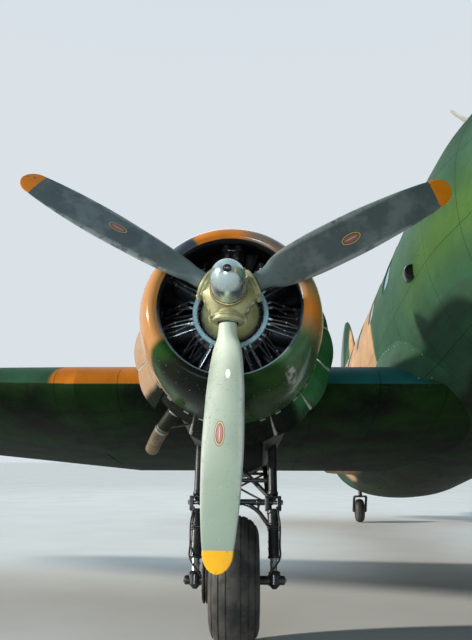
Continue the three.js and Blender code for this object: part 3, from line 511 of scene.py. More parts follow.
finishes = {
    "body": bodyPaint(), "wing": wingPaint(), "fabric": fabricPaint("fabricPaint", 0.36),
    "rudderFabric": fabricPaint("rudderPaint", 0.34, upright=True),
    "cowl": cowlPaint("cowlPaint"), "petals": cowlPaint("petalPaint", True), "nacelle": nacellePaint(),
    "blade": bladePaint(), "tyre": rubber(), "glass": glassPane(), "canvas": canvas(), "lip": lipMetal(),
    "dome": metal("domeMetal", (0.62, 0.72, 0.72), (0.38, 0.44, 0.38), 0.9, 0.22, 90, 5, 0.0003, 0.35),
    "brass": metal("brassRing", (0.42, 0.33, 0.15), (0.10, 0.08, 0.04), 0.8, 0.32, 120, 22, 0.0004, 0.5),
    "strap": metal("petalStrap", (0.46, 0.45, 0.38), (0.16, 0.15, 0.12), 0.4, 0.4, 120, 22, 0.0004, 0.5),
    "hub": metal("hubCasting", (0.42, 0.40, 0.21), (0.15, 0.14, 0.06), 0.3, 0.40, 90, 14, 0.0008, 0.5),
    "bowl": metal("noseCasePaint", (0.52, 0.50, 0.23), (0.16, 0.15, 0.08), 0.1, 0.42, 80, 9, 0.0008, 0.5),
    "ring": metal("harnessRing", (0.46, 0.68, 0.76), (0.20, 0.30, 0.34), 0.2, 0.35, 110, 20, 0.0006, 0.4),
    "fins": metal("cylinderFins", (0.050, 0.056, 0.066), (0.016, 0.016, 0.017), 0.5, 0.38, 90, 12, 0.0005,
                  0.5),
    "rods": metal("pushRodTubes", (0.36, 0.40, 0.44), (0.05, 0.05, 0.05), 0.85, 0.28, 90, 18, 0.0003, 0.6),
    "leads": metal("braidedLeads", (0.20, 0.20, 0.19), (0.05, 0.045, 0.04), 0.6, 0.45, 160, 20, 0.001, 0.5),
    "case": metal("engineCasting", (0.10, 0.105, 0.10), (0.02, 0.02, 0.018), 0.5, 0.5, 70, 8, 0.001, 0.6),
    "steel": metal("boltSteel", (0.40, 0.40, 0.38), (0.16, 0.11, 0.06), 0.9, 0.32, 120, 25, 0.0004, 0.5),
    "chrome": metal("oleoChrome", (0.72, 0.74, 0.75), (0.38, 0.37, 0.34), 1.0, 0.12, 120, 12, 0.0002, 0.35),
    "exhaust": metal("exhaustMetal", (0.30, 0.23, 0.14), (0.045, 0.035, 0.025), 0.8, 0.42, 60, 6, 0.001, 0.7),
    "gear": metal("gearEnamel", (0.016, 0.019, 0.022), (0.05, 0.043, 0.034), 0.15, 0.32, 80, 9, 0.0006, 0.5,
                  coatWeight=0.4),
    "brake": metal("brakeIron", (0.035, 0.034, 0.034), (0.08, 0.055, 0.035), 0.6, 0.5, 90, 14, 0.001, 0.6),
    "inside": metal("cabinPrimer", (0.12, 0.16, 0.055), (0.06, 0.07, 0.03), 0.0, 0.6, 60, 4, 0.0005, 0.5),
    "floor": metal("floorPlanks", (0.16, 0.15, 0.12), (0.07, 0.06, 0.045), 0.3, 0.6, 40, 5, 0.001, 0.6),
    # Near-black, for dark parts and for painted shade inside hollows.
    "dark": metal("darkPaintAndShade", (0.010, 0.010, 0.010), (0.022, 0.019, 0.015), 0.1, 0.7, 50, 5, 0.001, 0.6),
    "white": metal("mastPaint", (0.62, 0.62, 0.58), (0.28, 0.26, 0.22), 0.0, 0.4, 80, 14, 0.0004, 0.4),
    "lampWhite": lampGlass("lampGlass", (0.65, 0.70, 0.72), 0.1),
    "lampRed": lampGlass("redLamp", (0.45, 0.02, 0.015), 0.15),
    "lampGreen": lampGlass("greenLamp", (0.02, 0.30, 0.10), 0.15),
}
print("finishes made")


# Mesh tools

def vec(*numbers):
    return np.array(numbers, float)


def unit(vector):
    return np.asarray(vector, float) / np.linalg.norm(vector)


# A monotone curve through given points, for tables of sizes.
class Curve:
    def __init__(self, xs, ys):
        self.xs, self.ys = np.array(xs, float), np.array(ys, float)
        self.gaps = np.diff(self.xs)
        slopes = np.diff(self.ys) / self.gaps
        self.rates = np.concatenate([slopes[:1], np.zeros(len(slopes) - 1), slopes[-1:]])
        for i in range(1, len(slopes)):
            before, after = slopes[i - 1], slopes[i]
            if before * after > 0:
                w1 = 2 * self.gaps[i] + self.gaps[i - 1]
                w2 = self.gaps[i] + 2 * self.gaps[i - 1]
                self.rates[i] = (w1 + w2) / (w1 / before + w2 / after)

    def __call__(self, x):
        x = np.clip(x, self.xs[0], self.xs[-1])
        i = np.clip(np.searchsorted(self.xs, x) - 1, 0, len(self.gaps) - 1)
        gap = self.gaps[i]
        t = (x - self.xs[i]) / gap
        return ((2 * t ** 3 - 3 * t ** 2 + 1) * self.ys[i] + (t ** 3 - 2 * t ** 2 + t) * gap * self.rates[i]
                + (3 * t ** 2 - 2 * t ** 3) * self.ys[i + 1] + (t ** 3 - t ** 2) * gap * self.rates[i + 1])


# One curve for each column of a table of sizes, over its first column or other keys.
def curvesOf(rows, keys=None):
    columns = list(zip(*rows))
    return [Curve(columns[0] if keys is None else keys, column) for column in columns[1:]]


# A smooth line through points of any dimension.
def flowing(points, steps, closed=False):
    points = np.array(points, float)
    count = len(points)
    spans = count if closed else count - 1
    found = []
    for k in range(spans):
        pick = [(k + j) % count if closed else min(max(k + j, 0), count - 1) for j in (-1, 0, 1, 2)]
        a, b, c, d = points[pick]
        for t in np.arange(steps) / steps:
            found.append(0.5 * (2 * b + (c - a) * t + (2 * a - 5 * b + 4 * c - d) * t ** 2
                                + (3 * b - a - 3 * c + d) * t ** 3))
    if not closed:
        found.append(points[-1])
    return np.array(found)


class Piece:
    # Points and faces of one object, in level millimetres.
    def __init__(self, name, *looks):
        self.name, self.looks = name, looks
        self.points, self.faces, self.tones, self.charts = [], [], [], {}
        self.count = 0

    def put(self, points, faces, tone=0):
        base = self.count
        points = np.asarray(points, float).reshape(-1, 3)
        self.points.append(points)
        self.count += len(points)
        self.faces.extend([tuple(base + i for i in face) for face in faces])
        self.tones.extend([tone] * len(faces))
        return base

    # Rows of equal count, joined into a sheet. around closes each row on itself.
    def sheet(self, rows, around=False, closed=False, tone=0, caps=False, flip=False):
        rows = np.asarray(rows, float)
        n, m = rows.shape[:2]
        faces = []
        for i in range(n if closed else n - 1):
            below = (i + 1) % n
            for j in range(m if around else m - 1):
                beside = (j + 1) % m
                face = (i * m + j, i * m + beside, below * m + beside, below * m + j)
                faces.append(face[::-1] if flip else face)
        if caps:
            first, last = tuple(range(m)), tuple((n - 1) * m + j for j in range(m))
            faces.append(first if flip else first[::-1])
            faces.append(last[::-1] if flip else last)
        return self.put(rows, faces, tone)

    # A profile of (radius, distance along) turned about an axis.
    def turned(self, profile, origin, axis, steps=48, tone=0, closed=False):
        axis = unit(axis)
        side = unit(np.cross(axis, (0, 0, 1) if abs(axis[2]) < 0.9 else (0, 1, 0)))
        other = np.cross(axis, side)
        turns = np.linspace(0, full, steps, endpoint=False)
        profile = np.array(profile, float)
        ring = np.outer(np.cos(turns), side) + np.outer(np.sin(turns), other)
        rows = (np.asarray(origin, float) + profile[:, 1, None, None] * axis
                + profile[:, 0, None, None] * ring[None, :, :])
        return self.sheet(rows, around=True, closed=closed, tone=tone)

    # A round bar from one point to another, with softened ends.
    def bar(self, start, end, radius, endRadius=None, steps=16, tone=0):
        start, end = np.asarray(start, float), np.asarray(end, float)
        length = np.linalg.norm(end - start)
        endRadius = radius if endRadius is None else endRadius
        soft = min(radius, endRadius) * 0.18
        profile = [(0, 0), (radius - soft, 0), (radius, soft), (endRadius, length - soft),
                   (endRadius - soft, length), (0, length)]
        self.turned(profile, start, end - start, steps, tone)

    # A tube along a line of points, its radius one number or one for each point.
    def hose(self, path, radius, steps=10, tone=0, caps=True):
        path = np.asarray(path, float)
        radii = np.full(len(path), radius, float) if np.isscalar(radius) else np.asarray(radius, float)
        ways = np.gradient(path, axis=0)
        ways /= np.linalg.norm(ways, axis=1)[:, None]
        side = np.cross(ways[0], (0.31, 0.52, 0.79))
        rows = []
        turns = np.arange(steps) * full / steps
        for point, way, size in zip(path, ways, radii):
            side = unit(side - way * np.dot(side, way))
            other = np.cross(way, side)
            rows.append(point + size * (np.outer(np.cos(turns), side) + np.outer(np.sin(turns), other)))
        self.sheet(rows, around=True, tone=tone, caps=caps)

    # A block with cut edges, turned by an optional matrix of its three axes.
    def slab(self, centre, size, axes=np.eye(3), cut=None, tone=0):
        half = np.array(size, float) / 2
        cut = min(half) * 0.25 if cut is None else cut
        points, key = [], {}
        for sx in (-1, 1):
            for sy in (-1, 1):
                for sz in (-1, 1):
                    for axis in range(3):
                        corner = half - cut
                        corner[axis] = half[axis]
                        key[sx, sy, sz, axis] = len(points)
                        points.append(corner * (sx, sy, sz))
        faces = []
        for axis in range(3):
            b, c = (axis + 1) % 3, (axis + 2) % 3
            for s in (-1, 1):
                loop = []
                for p, q in ((-1, -1), (1, -1), (1, 1), (-1, 1)):
                    sign = [0, 0, 0]
                    sign[axis], sign[b], sign[c] = s, p, q
                    loop.append(key[(*sign, axis)])
                faces.append(loop if s > 0 else loop[::-1])
            for p, q in ((-1, -1), (1, -1), (1, 1), (-1, 1)):
                loop = []
                for s, kind in ((-1, b), (1, b), (1, c), (-1, c)):
                    sign = [0, 0, 0]
                    sign[axis], sign[b], sign[c] = s, p, q
                    loop.append(key[(*sign, kind)])
                faces.append(loop if p * q < 0 else loop[::-1])
        for sx in (-1, 1):
            for sy in (-1, 1):
                for sz in (-1, 1):
                    loop = [key[sx, sy, sz, k] for k in range(3)]
                    faces.append(loop if sx * sy * sz > 0 else loop[::-1])
        placed = np.array(points) @ np.asarray(axes, float) + np.asarray(centre, float)
        return self.put(placed, faces, tone)

    def bolt(self, point, way, size=9, tone=0):
        outline = [(0, -0.2), (1, -0.2), (1, 0.5), (0.75, 0.75), (0, 0.75)]
        self.turned(np.array(outline) * size, point, way, 6, tone)

    # A closed shell of sections of equal count, such as a wing's.
    def shell(self, rows, flip=False):
        self.sheet(rows, around=True, caps=True, flip=flip)

    # Two layers of a panel and the rim between them.
    def panel(self, layers, tones=(0, 0, 0), flip=False):
        for layer, tone, turnedOver in zip(layers, tones, (flip, False)):
            self.sheet(layer, tone=tone, flip=turnedOver)
        rims = [np.concatenate([rows[0], rows[1:, -1], rows[-1, -2::-1], rows[-2:0:-1, 0]])
                for rows in layers]
        self.sheet(rims, around=True, tone=tones[2])

    def done(self, body, replaces=(), slot=None, sharp=32, outward=False):
        mesh = bpy.data.meshes.new(self.name)
        points = np.concatenate(self.points) / 1000
        mesh.from_pydata(points.tolist(), [], self.faces)
        mesh.transform(levelToWorld)
        for look in self.looks:
            mesh.materials.append(finishes[look])
        mesh.polygons.foreach_set("material_index", self.tones)
        for name, values in self.charts.items():
            made = mesh.attributes.new(name, "FLOAT_VECTOR", "POINT")
            made.data.foreach_set("vector", np.asarray(values, np.float32).ravel())
        if outward:
            work = bmesh.new()
            work.from_mesh(mesh)
            bmesh.ops.recalc_face_normals(work, faces=work.faces)
            work.to_mesh(mesh)
            work.free()
        mesh.shade_smooth()
        mesh.set_sharp_from_angle(angle=math.radians(sharp))
        made = bpy.data.objects.new(self.name, mesh)
        bpy.context.scene.collection.objects.link(made)
        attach(made, body)
        if replaces:
            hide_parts(*replaces)
        return made


# Fuselage

hull = {
    # station, half the width, and the top and bottom over the thrust line
    "rows": [
        (0, 60, -190, -310), (60, 250, -40, -480), (200, 430, 100, -640), (450, 620, 250, -800),
        (850, 795, 410, -970), (1300, 925, 540, -1080), (1480, 960, 720, -1110), (1850, 1015, 1020, -1160),
        (2300, 1060, 1150, -1210), (2900, 1100, 1235, -1250), (3180, 1165, 1255, -1264),
        (3600, 1250, 1280, -1280), (4300, 1290, 1280, -1280), (10300, 1290, 1280, -1280),
        (11400, 1258, 1262, -1205), (12600, 1168, 1215, -1060), (14000, 990, 1125, -830),
        (15500, 735, 990, -550), (17000, 460, 810, -250), (18200, 258, 640, 0), (19050, 130, 510, 180),
        (19400, 40, 400, 300),
    ],
    "centreZ": 850, "skin": 60, "floorZ": 270, "cockpitFrom": 1150, "slopeTo": 3000, "noseEnd": 3300,
    "cabinEnd": 13400, "tail": 19400, "stationStep": 46, "aroundSteps": 144, "power": 2.2,
}
windows = {"first": 5370, "pitch": 990, "count": 8, "halfWide": 190, "halfTall": 210, "height": 1290,
           "corner": 0.42, "doorFrom": 6}
doors = {"front": 11000, "split": 12080, "rear": 13100, "low": 310, "high": 1600, "skin": 26, "leafGap": 15,
         "gap": 9, "hingeZ": 865, "lean": 0.0907, "knuckles": (640, 1090), "pinRoom": 11,
         # x and station of each hinge line at the height hingeZ
         "hinges": {"front": (1293, 11004), "rear": (1126.5, 13096)}}

# The nose is round, so its table is read by the root of the station.
hullHalf, hullTop, hullBottom = curvesOf(hull["rows"], [math.sqrt(row[0]) for row in hull["rows"]])


def hullShape(s):
    key = np.sqrt(np.maximum(s, 0))
    top, bottom = hullTop(key), hullBottom(key)
    return hullHalf(key), hull["centreZ"] + (top + bottom) / 2, (top - bottom) / 2


# The hull's section is a little fuller than an oval.
def powered(share, power):
    return np.sign(share) * np.abs(share) ** power


def onHull(s, turn, inset=0.0):
    s, turn = np.broadcast_arrays(np.asarray(s, float), np.asarray(turn, float))
    half, centre, rise = hullShape(s)
    x = (half - inset) * powered(np.cos(turn), 2 / hull["power"])
    z = centre + (rise - inset) * powered(np.sin(turn), 2 / hull["power"])
    return np.stack([x, s, z], axis=-1)


# Half the hull's width at a station and a height.
def hullWidth(s, z, inset=0.0):
    half, centre, rise = hullShape(s)
    share = min(1.0, abs(z - centre) / (rise - inset))
    return (half - inset) * (1 - share ** hull["power"]) ** (1 / hull["power"])


# The turn round the hull at a station and a height, on the left (1) or right (-1).
def hullTurn(s, z, side):
    half, centre, rise = hullShape(s)
    turn = math.asin(float(powered(max(-1.0, min(1.0, (z - centre) / rise)), hull["power"] / 2)))
    return turn if side > 0 else math.pi - turn


# Station and turn of the point of the windscreen slope at a given x and z.
def slopeSpot(x, z):
    stations = np.linspace(hull["cockpitFrom"], hull["slopeTo"], 900)
    half, centre, rise = hullShape(stations)
    power = hull["power"]
    depth = np.abs(x / half) ** power + np.abs((z - centre) / rise) ** power
    s = float(np.interp(-1.0, -depth, stations))
    half, centre, rise = hullShape(s)
    return s, math.atan2(powered((z - centre) / rise, power / 2), powered(x / half, power / 2))


def rounded(u, v, corner):
    a, b = abs(u), abs(v)
    if a > 1 - corner and b > 1 - corner:
        p, q = (a - 1 + corner) / corner, (b - 1 + corner) / corner
        size = math.hypot(p, q)
        a, b = 1 - corner + corner * p / size, 1 - corner + corner * q / size
    return math.copysign(a, u), math.copysign(b, v)


# An outline in stations and turns: a function of u and v on the square's rim.
def sideWindow(s0, z0, halfWide, halfTall, side, corner):
    def outline(u, v):
        u, v = rounded(u, v, corner)
        s = s0 + halfWide * u
        return s, hullTurn(s, z0 + side * halfTall * v, side)
    return outline


def quadWindow(corners, corner):
    def outline(u, v):
        u, v = rounded(u, v, corner)
        u, v = (u + 1) / 2, (v + 1) / 2
        (s0, t0), (s1, t1), (s2, t2), (s3, t3) = corners
        low = (s0 + (s1 - s0) * u, t0 + (t1 - t0) * u)
        high = (s3 + (s2 - s3) * u, t3 + (t2 - t3) * u)
        return low[0] + (high[0] - low[0]) * v, low[1] + (high[1] - low[1]) * v
    return outline


def screenWindow(x0, x1, z0, z1, side, corner):
    def outline(u, v):
        u, v = rounded(u, v, corner)
        x = (x0 + x1) / 2 + (x1 - x0) / 2 * -v * side
        z = (z0 + z1) / 2 + (z1 - z0) / 2 * u
        s, turn = slopeSpot(x, z)
        return s, turn if side > 0 else math.pi - turn
    return outline


def holeLoop(outline, spread=1.0, count=48):
    # The outline as a loop of stations and turns, spread out about its middle.
    rim = []
    for k in range(4):
        for t in np.arange(count // 4) / (count // 4) * 2 - 1:
            rim.append([(t, -1), (1, t), (-t, 1), (-1, -t)][k])
    loop = np.array([outline(u, v) for u, v in rim])
    middle = (loop.max(0) + loop.min(0)) / 2
    return middle + (loop - middle) * spread


# A skin of stations by turns with holes in it. Each hole takes out a block of the grid, and
# rings lead from the block's rim to the hole's outline. Returns each outline's loop.
def holedSkin(piece, stations, turns, holes, surface, around=True, tone=0, keep=None):
    n, m = len(stations), len(turns)
    grid = surface(stations[:, None], turns[None, :])
    cleared = np.zeros((n - 1, m), bool)
    base = piece.put(grid, [], tone)
    loops = []
    for outline in holes:
        loop = holeLoop(outline)
        i0 = np.searchsorted(stations, loop[:, 0].min() - 8) - 1
        i1 = np.searchsorted(stations, loop[:, 0].max() + 8)
        j0 = np.searchsorted(turns, loop[:, 1].min() - 0.006) - 1
        j1 = np.searchsorted(turns, loop[:, 1].max() + 0.006)
        cleared[i0:i1, j0:j1] = True
        rim = [(i0, j) for j in range(j0, j1)] + [(i, j1) for i in range(i0, i1)]
        rim += [(i1, j) for j in range(j1, j0, -1)] + [(i, j0) for i in range(i1, i0, -1)]
        shares = [(2 * (i - i0) / (i1 - i0) - 1, 2 * (j - j0) / (j1 - j0) - 1) for i, j in rim]
        outer = np.array([(stations[i], turns[j]) for i, j in rim])
        inner = np.array([outline(u, v) for u, v in shares])
        previous = [base + i * m + j for i, j in rim]
        for share in (0.5, 1.0):
            spots = outer + (inner - outer) * share
            start = piece.put(surface(spots[:, 0], spots[:, 1]), [], tone)
            ring = list(range(start, start + len(rim)))
            nextRing, nextPrevious = ring[1:] + ring[:1], previous[1:] + previous[:1]
            made = list(zip(previous, ring, nextRing, nextPrevious))
            piece.faces.extend(made)
            piece.tones.extend([tone] * len(made))
            previous = ring
        loops.append(inner)
    for i in range(n - 1):
        for j in range(m if around else m - 1):
            if cleared[i, j] or (keep and not keep(grid[i, j])):
                continue
            beside, here = (j + 1) % m, base + i * m
            piece.faces.append((here + j, here + beside, here + m + beside, here + m + j))
            piece.tones.append(tone)
    return loops


windowTrim = {"reveal": 55, "wide": 1.10, "proud": 4, "paneInset": 7, "screenInset": 16}


# A raised frame round an opening in the hull, and its pane a little way in.
def windowFrame(piece, outline):
    wide, proud = windowTrim["wide"], windowTrim["proud"]
    loops = [holeLoop(outline, spread) for spread in (0.985, 0.985, 1.0, wide - 0.02, wide)]
    insets = [20, -proud * 0.6, -proud, -proud, 1]
    piece.sheet([onHull(loop[:, 0], loop[:, 1], inset) for loop, inset in zip(loops, insets)], around=True)


def pane(piece, outline, inset):
    loops = [holeLoop(outline, spread) for spread in (1.01, 0.7, 0.4, 0.1)]
    base = piece.sheet([onHull(loop[:, 0], loop[:, 1], inset) for loop in loops], around=True)
    last = base + 3 * len(loops[0])
    piece.faces.append(tuple(range(last, last + len(loops[0]))))
    piece.tones.append(0)


turnsRound = -math.pi / 2 + np.arange(hull["aroundSteps"]) * full / hull["aroundSteps"]


def stationsOf(start, end):
    count = max(2, round((end - start) / hull["stationStep"]))
    return np.linspace(start, end, count + 1)


def sideWindows():
    found = []
    half = (windows["halfWide"], windows["halfTall"])
    for i in range(windows["count"]):
        s = windows["first"] + i * windows["pitch"]
        # The cargo doors take the place of the last windows on the left.
        for side in (1, -1) if i < windows["doorFrom"] else (-1,):
            found.append(sideWindow(s, windows["height"], *half, side, windows["corner"]))
    return found


# Windscreen as x and z of its edges, and the two side panes as stations and heights.
cockpit = {
    "screen": (50, 600, 1446, 1772), "screenCorner": 0.16, "paneCorner": 0.22, "slopeCorner": (715, 1588),
    "panes": (((1660, 1352), (2140, 1352), (2140, 1668)),
              ((2225, 1352), (2780, 1352), (2780, 1660), (2225, 1676))),
}


def cockpitWindows():
    found = []
    for side in (1, -1):
        found.append(screenWindow(*cockpit["screen"], side, cockpit["screenCorner"]))
        for spots in cockpit["panes"]:
            quad = [(s, hullTurn(s, z, 1)) for s, z in spots]
            if len(quad) < 4:
                quad.append(slopeSpot(*cockpit["slopeCorner"]))
            if side < 0:
                quad = [(s, math.pi - turn) for s, turn in quad]
            found.append(quadWindow(quad, cockpit["paneCorner"]))
    return found


# The hull's outer skin over a run of stations, its openings lined and its windows framed.
def hullPiece(name, start, end, holes, glazed):
    piece = Piece(name, "body", "inside", "steel")
    stations = stationsOf(start, end)
    if start == 0:
        stations = np.concatenate([np.array([0, 6, 16, 32]), np.linspace(60, end, len(stations))])
    loops = holedSkin(piece, stations, turnsRound, holes, onHull)
    for inner in loops:
        insets = (0.0, windowTrim["reveal"] * 0.5, windowTrim["reveal"])
        rows = [onHull(inner[:, 0], inner[:, 1], inset) for inset in insets]
        piece.sheet(rows, around=True, tone=1)
    for outline in glazed:
        windowFrame(piece, outline)
    return piece, stations


# The inner skin ends a little below the floor.
def lining(piece, stations, holes):
    holedSkin(piece, stations, turnsRound, holes, lambda s, turn: onHull(s, turn, hull["skin"]), tone=1,
              keep=lambda point: point[2] > hull["floorZ"] - 60)


def fuselage():
    panes = Piece("cabinGlass", "glass")
    front = cockpitWindows()
    nose, stations = hullPiece("noseSkin", 0, hull["noseEnd"], front, front)
    tip = onHull(0, turnsRound)
    nose.sheet([tip, np.repeat(tip.mean(0)[None], len(turnsRound), 0)], around=True)
    lining(nose, stations[stations > hull["cockpitFrom"]], front)
    nose.done("airframe", ("fuselage_nose",), "body_paint")
    screen = Piece("cockpitGlass", "glass")
    for outline in front:
        pane(screen, outline, windowTrim["screenInset"])
    screen.done("airframe", ("cockpit_glazing",), "glass")

    side = sideWindows()
    # The doorway reaches a little past the rear leaf, which leaves room for its hinge pins.
    start, end, low, high = doors["front"], doors["rear"] + doors["pinRoom"], doors["low"], doors["high"]
    doorway = sideWindow((start + end) / 2, (low + high) / 2, (end - start) / 2, (high - low) / 2, 1, 0.02)
    cabin, stations = hullPiece("cabinSkin", hull["noseEnd"], hull["cabinEnd"], side + [doorway], side)
    lining(cabin, stations, side + [doorway])
    for outline in side:
        pane(panes, outline, windowTrim["paneInset"])
    fillets(cabin)
    cabin.done("airframe", ("fuselage_cabin",), "body_paint")
    panes.done("airframe", (), "glass")

    tail = Piece("tailConeSkin", "body")
    stations = stationsOf(hull["cabinEnd"], hull["tail"])
    tail.sheet(onHull(stations[:, None], turnsRound[None, :]), around=True, caps=True)
    tail.done("airframe", ("tail_cone",), "body_paint")
    inside()
    doorLeaves()


# Station, reach from the middle, height and foot of the fillet between wing and hull.
filletRows = [(4490, 945, 40, -90), (4520, 965, 140, -92), (4590, 1005, 265, -90), (4700, 1080, 405, -80),
              (4765, 1140, 450, -60), (4910, 1290, 456, 10), (5230, 1470, 500, 50), (5630, 1530, 510, 100),
              (6200, 1560, 490, 130), (7600, 1620, 460, 40), (8800, 1690, 470, -130), (9700, 1540, 400, -150),
              (10600, 1320, 60, -60)]
filletUnder, filletBury, filletFlat = 0.3, 40, 0.45


def fillets(piece):
    reach, height, foot = curvesOf(filletRows)
    stations = np.linspace(filletRows[0][0], filletRows[-1][0], 110)
    turns = np.linspace(0, math.pi / 2, 15)
    share = turns / turns[-1]
    outward = filletFlat * share + (1 - filletFlat) * (1 - np.cos(turns))
    upward = filletFlat * (1 - share) + (1 - filletFlat) * (1 - np.sin(turns))
    for side in (-1, 1):
        rows = []
        for s in stations:
            halves = []
            for rise in (height(s), -filletUnder * height(s)):
                inner = hullWidth(s, float(foot(s) + rise)) - filletBury
                out = inner + (reach(s) - inner) * outward
                halves.append(np.stack([side * out, np.full(len(out), s), foot(s) + rise * upward], axis=-1))
            rows.append(np.concatenate([halves[0], halves[1][-2::-1]]))
        piece.sheet(rows, flip=side < 0)
        # Screws along the hull and along the wing.
        for row in rows[3::2]:
            upper = row[:len(turns)]
            clear = [abs(x) > hullWidth(s, z) + 3 for x, s, z in upper]
            for k in {clear.index(True), len(turns) - 2}:
                normal = np.cross(upper[k] - upper[k - 1], (0, 1, 0)) * side
                piece.bolt(upper[k], unit(normal), 6, tone=2)


formers = {"from": 3700, "to": 13200, "pitch": 495, "clear": 240, "half": 22, "inset": 104}
benches = {
    "runs": ((4300, 7000), (7100, 9800), (9900, 12600)), "sag": 14, "span": 450,
    # x and z of the canvas from the back's top to the front rail, and whether it sags there
    "section": ((1040, 1010, 0), (1020, 730, 0), (960, 690, 1), (780, 680, 1), (620, 700, 0), (612, 688, 0)),
}
# Centre, size and edge of the cockpit's blocks: those on the middle line, then each seat's.
deskBlocks = (((0, 1760, 1230), (1500, 60, 300), 12), ((0, 1690, 1392), (1560, 190, 24), 8))
seatBlocks = (((0, 2620, 760), (440, 430, 110), 30, 2), ((0, 2850, 1060), (440, 100, 620), 30, 2),
              ((0, 2640, 500), (300, 300, 440), 20, 1))
seatX, yokeRadius = 430, 150


def inside():
    piece = Piece("cabinInside", "floor", "inside", "canvas", "dark")
    rows = []
    for s in np.linspace(1300, hull["cabinEnd"] - 10, 60):
        edge = hullWidth(s, hull["floorZ"], 62)
        rows.append([(x, s, hull["floorZ"] + 2) for x in np.linspace(-edge, edge, 9)])
    piece.sheet(rows, tone=0)
    # Formers stand proud of the inner skin every half metre or so, and keep clear of the windows.
    first, pitch, clear = windows["first"], windows["pitch"], formers["clear"]
    for s in np.arange(formers["from"], formers["to"], formers["pitch"]):
        window = first + round((s - first) / pitch) * pitch
        if first - 250 < s < first + 7.4 * pitch and abs(s - window) < clear:
            s = window + math.copysign(clear, s - window)
        byDoor = doors["front"] - 60 < s < doors["rear"] + 60
        turns = np.linspace(math.radians(42 if byDoor else -45), math.radians(225), 60 if byDoor else 80)
        half, low, high = formers["half"], hull["skin"] + 2, formers["inset"]
        section = ((-half, low), (-half, high), (half, high), (half, low))
        piece.sheet([onHull(s + shift, turns, inset) for shift, inset in section], tone=1)
    # Rear bulkhead.
    ring = onHull(hull["cabinEnd"] - 12, turnsRound, hull["skin"])
    piece.put(ring, [tuple(range(len(ring)))[::-1]], tone=1)
    # Folding canvas benches, two on the side of the doors and three on the other.
    for side, runs in ((-1, benches["runs"]), (1, benches["runs"][:2])):
        for start, end in runs:
            rows = []
            for s in np.linspace(start, end, 28):
                sag = benches["sag"] * math.sin(math.pi * ((s - start) / benches["span"] % 1))
                rows.append([(side * x, s, z - sag * slack) for x, z, slack in benches["section"]])
            piece.sheet(rows, tone=2)
            for s in np.linspace(start, end, 5):
                piece.bar((side * 620, s, 694), (side * 700, s, 275), 14, steps=8, tone=1)
            piece.bar((side * 618, start, 694), (side * 618, end, 694), 16, steps=10, tone=1)
    # Cockpit: panel, coaming, two seats, two yokes and the pedestal between them.
    for centre, size, cut in deskBlocks:
        piece.slab(centre, size, cut=cut, tone=3)
    for x in (-seatX, seatX):
        for centre, size, cut, tone in seatBlocks:
            piece.slab(centre + vec(x, 0, 0), size, cut=cut, tone=tone)
        piece.bar((x, 2100, 280), (x, 2180, 1060), 24, steps=10, tone=3)
        yoke = [(x + yokeRadius * math.cos(turn), 2190, 1060 + yokeRadius * math.sin(turn))
                for turn in np.linspace(0.6, 5.5, 24)]
        piece.hose(yoke, 13, 8, tone=3)
    piece.slab((0, 2250, 700), (260, 700, 860), cut=20, tone=3)
    piece.done("airframe", (), "body_paint")


# A point of a door's hinge line, which leans in with the hull's side.
def hingeSpot(name, z):
    out, s = doors["hinges"][name]
    return vec(out - doors["lean"] * (z - doors["hingeZ"]), s, z)


def doorLeaves():
    edges = ((doors["front"] + doors["gap"], doors["split"] - doors["leafGap"], "front"),
             (doors["split"] + doors["leafGap"], doors["rear"] - doors["gap"], "rear"))
    for start, end, name in edges:
        leaf = Piece("cargoDoor" + name.capitalize(), "body", "inside", "steel", "glass")
        stations = np.linspace(start, end, 26)
        heights = np.linspace(doors["low"] + doors["gap"], doors["high"] - doors["gap"], 30)
        turns = np.array([[hullTurn(s, z, 1) for z in heights] for s in stations])
        layers = [onHull(stations[:, None], turns, inset) for inset in (1.0, doors["skin"])]
        leaf.panel(layers, (0, 1, 1), flip=True)
        # Stiffeners on the inside.
        low, high = doors["skin"], doors["skin"] + 1.5
        for share in (0.12, 0.5, 0.88):
            s = start + (end - start) * share
            turns = np.array([hullTurn(s, z, 1) for z in heights[1:-1]])
            section = ((-20, low), (-20, high), (20, high), (20, low))
            leaf.sheet([onHull(s + shift, turns, inset) for shift, inset in section], tone=1)
        # Hinge straps and a pull handle outside, and the knuckles on their arms.
        hingeAt, way = (start, 1) if name == "front" else (end, -1)
        for z in doors["knuckles"]:
            turn = hullTurn(hingeAt + way * 60, z + 30, 1)
            a = onHull(hingeAt + way * 6, turn, -5)
            b = onHull(hingeAt + way * 200, turn, -2)
            leaf.sheet([[a + (0, 0, -26), a + (0, 0, 26)], [b + (0, 0, -12), b + (0, 0, 12)]], tone=2)
        spot = onHull(end - 90 if name == "front" else start + 90, hullTurn((start + end) / 2, 900, 1), -8)
        leaf.bar(spot + (0, -55, 0), spot + (0, 55, 0), 9, tone=2)
        for shift in (-50, 50):
            leaf.bar(spot + (0, shift, 0), spot + (-22, shift, 0), 7, tone=2)
        for z in doors["knuckles"]:
            low, pin, high = (hingeSpot(name, z + rise) for rise in (1, 30, 59))
            leaf.bar(low, high, 12, tone=2)
            leaf.bar(pin, onHull(pin[1] + way * 70, hullTurn(pin[1], pin[2], 1), 8), 9, tone=2)
        leaf.done("door_" + name, ("cargo_door_" + name,), "body_paint")


fuselage()
print("fuselage made")


# Wings

foilShape = {"peak": 0.35, "camber": 0.02}


# The usual four digit section: half its depth, and its mean line, at a share of the chord.
def halfDepth(thickness, u):
    powers = 0.2969 * np.sqrt(u) - 0.126 * u - 0.3516 * u ** 2 + 0.2843 * u ** 3 - 0.1036 * u ** 4
    return 5 * thickness * powers


def meanLine(u):
    p, camber = foilShape["peak"], foilShape["camber"]
    front = camber / p ** 2 * (2 * p * u - u * u)
    back = camber / (1 - p) ** 2 * (1 - 2 * p + 2 * p * u - u * u)
    return np.where(u < p, front, back)


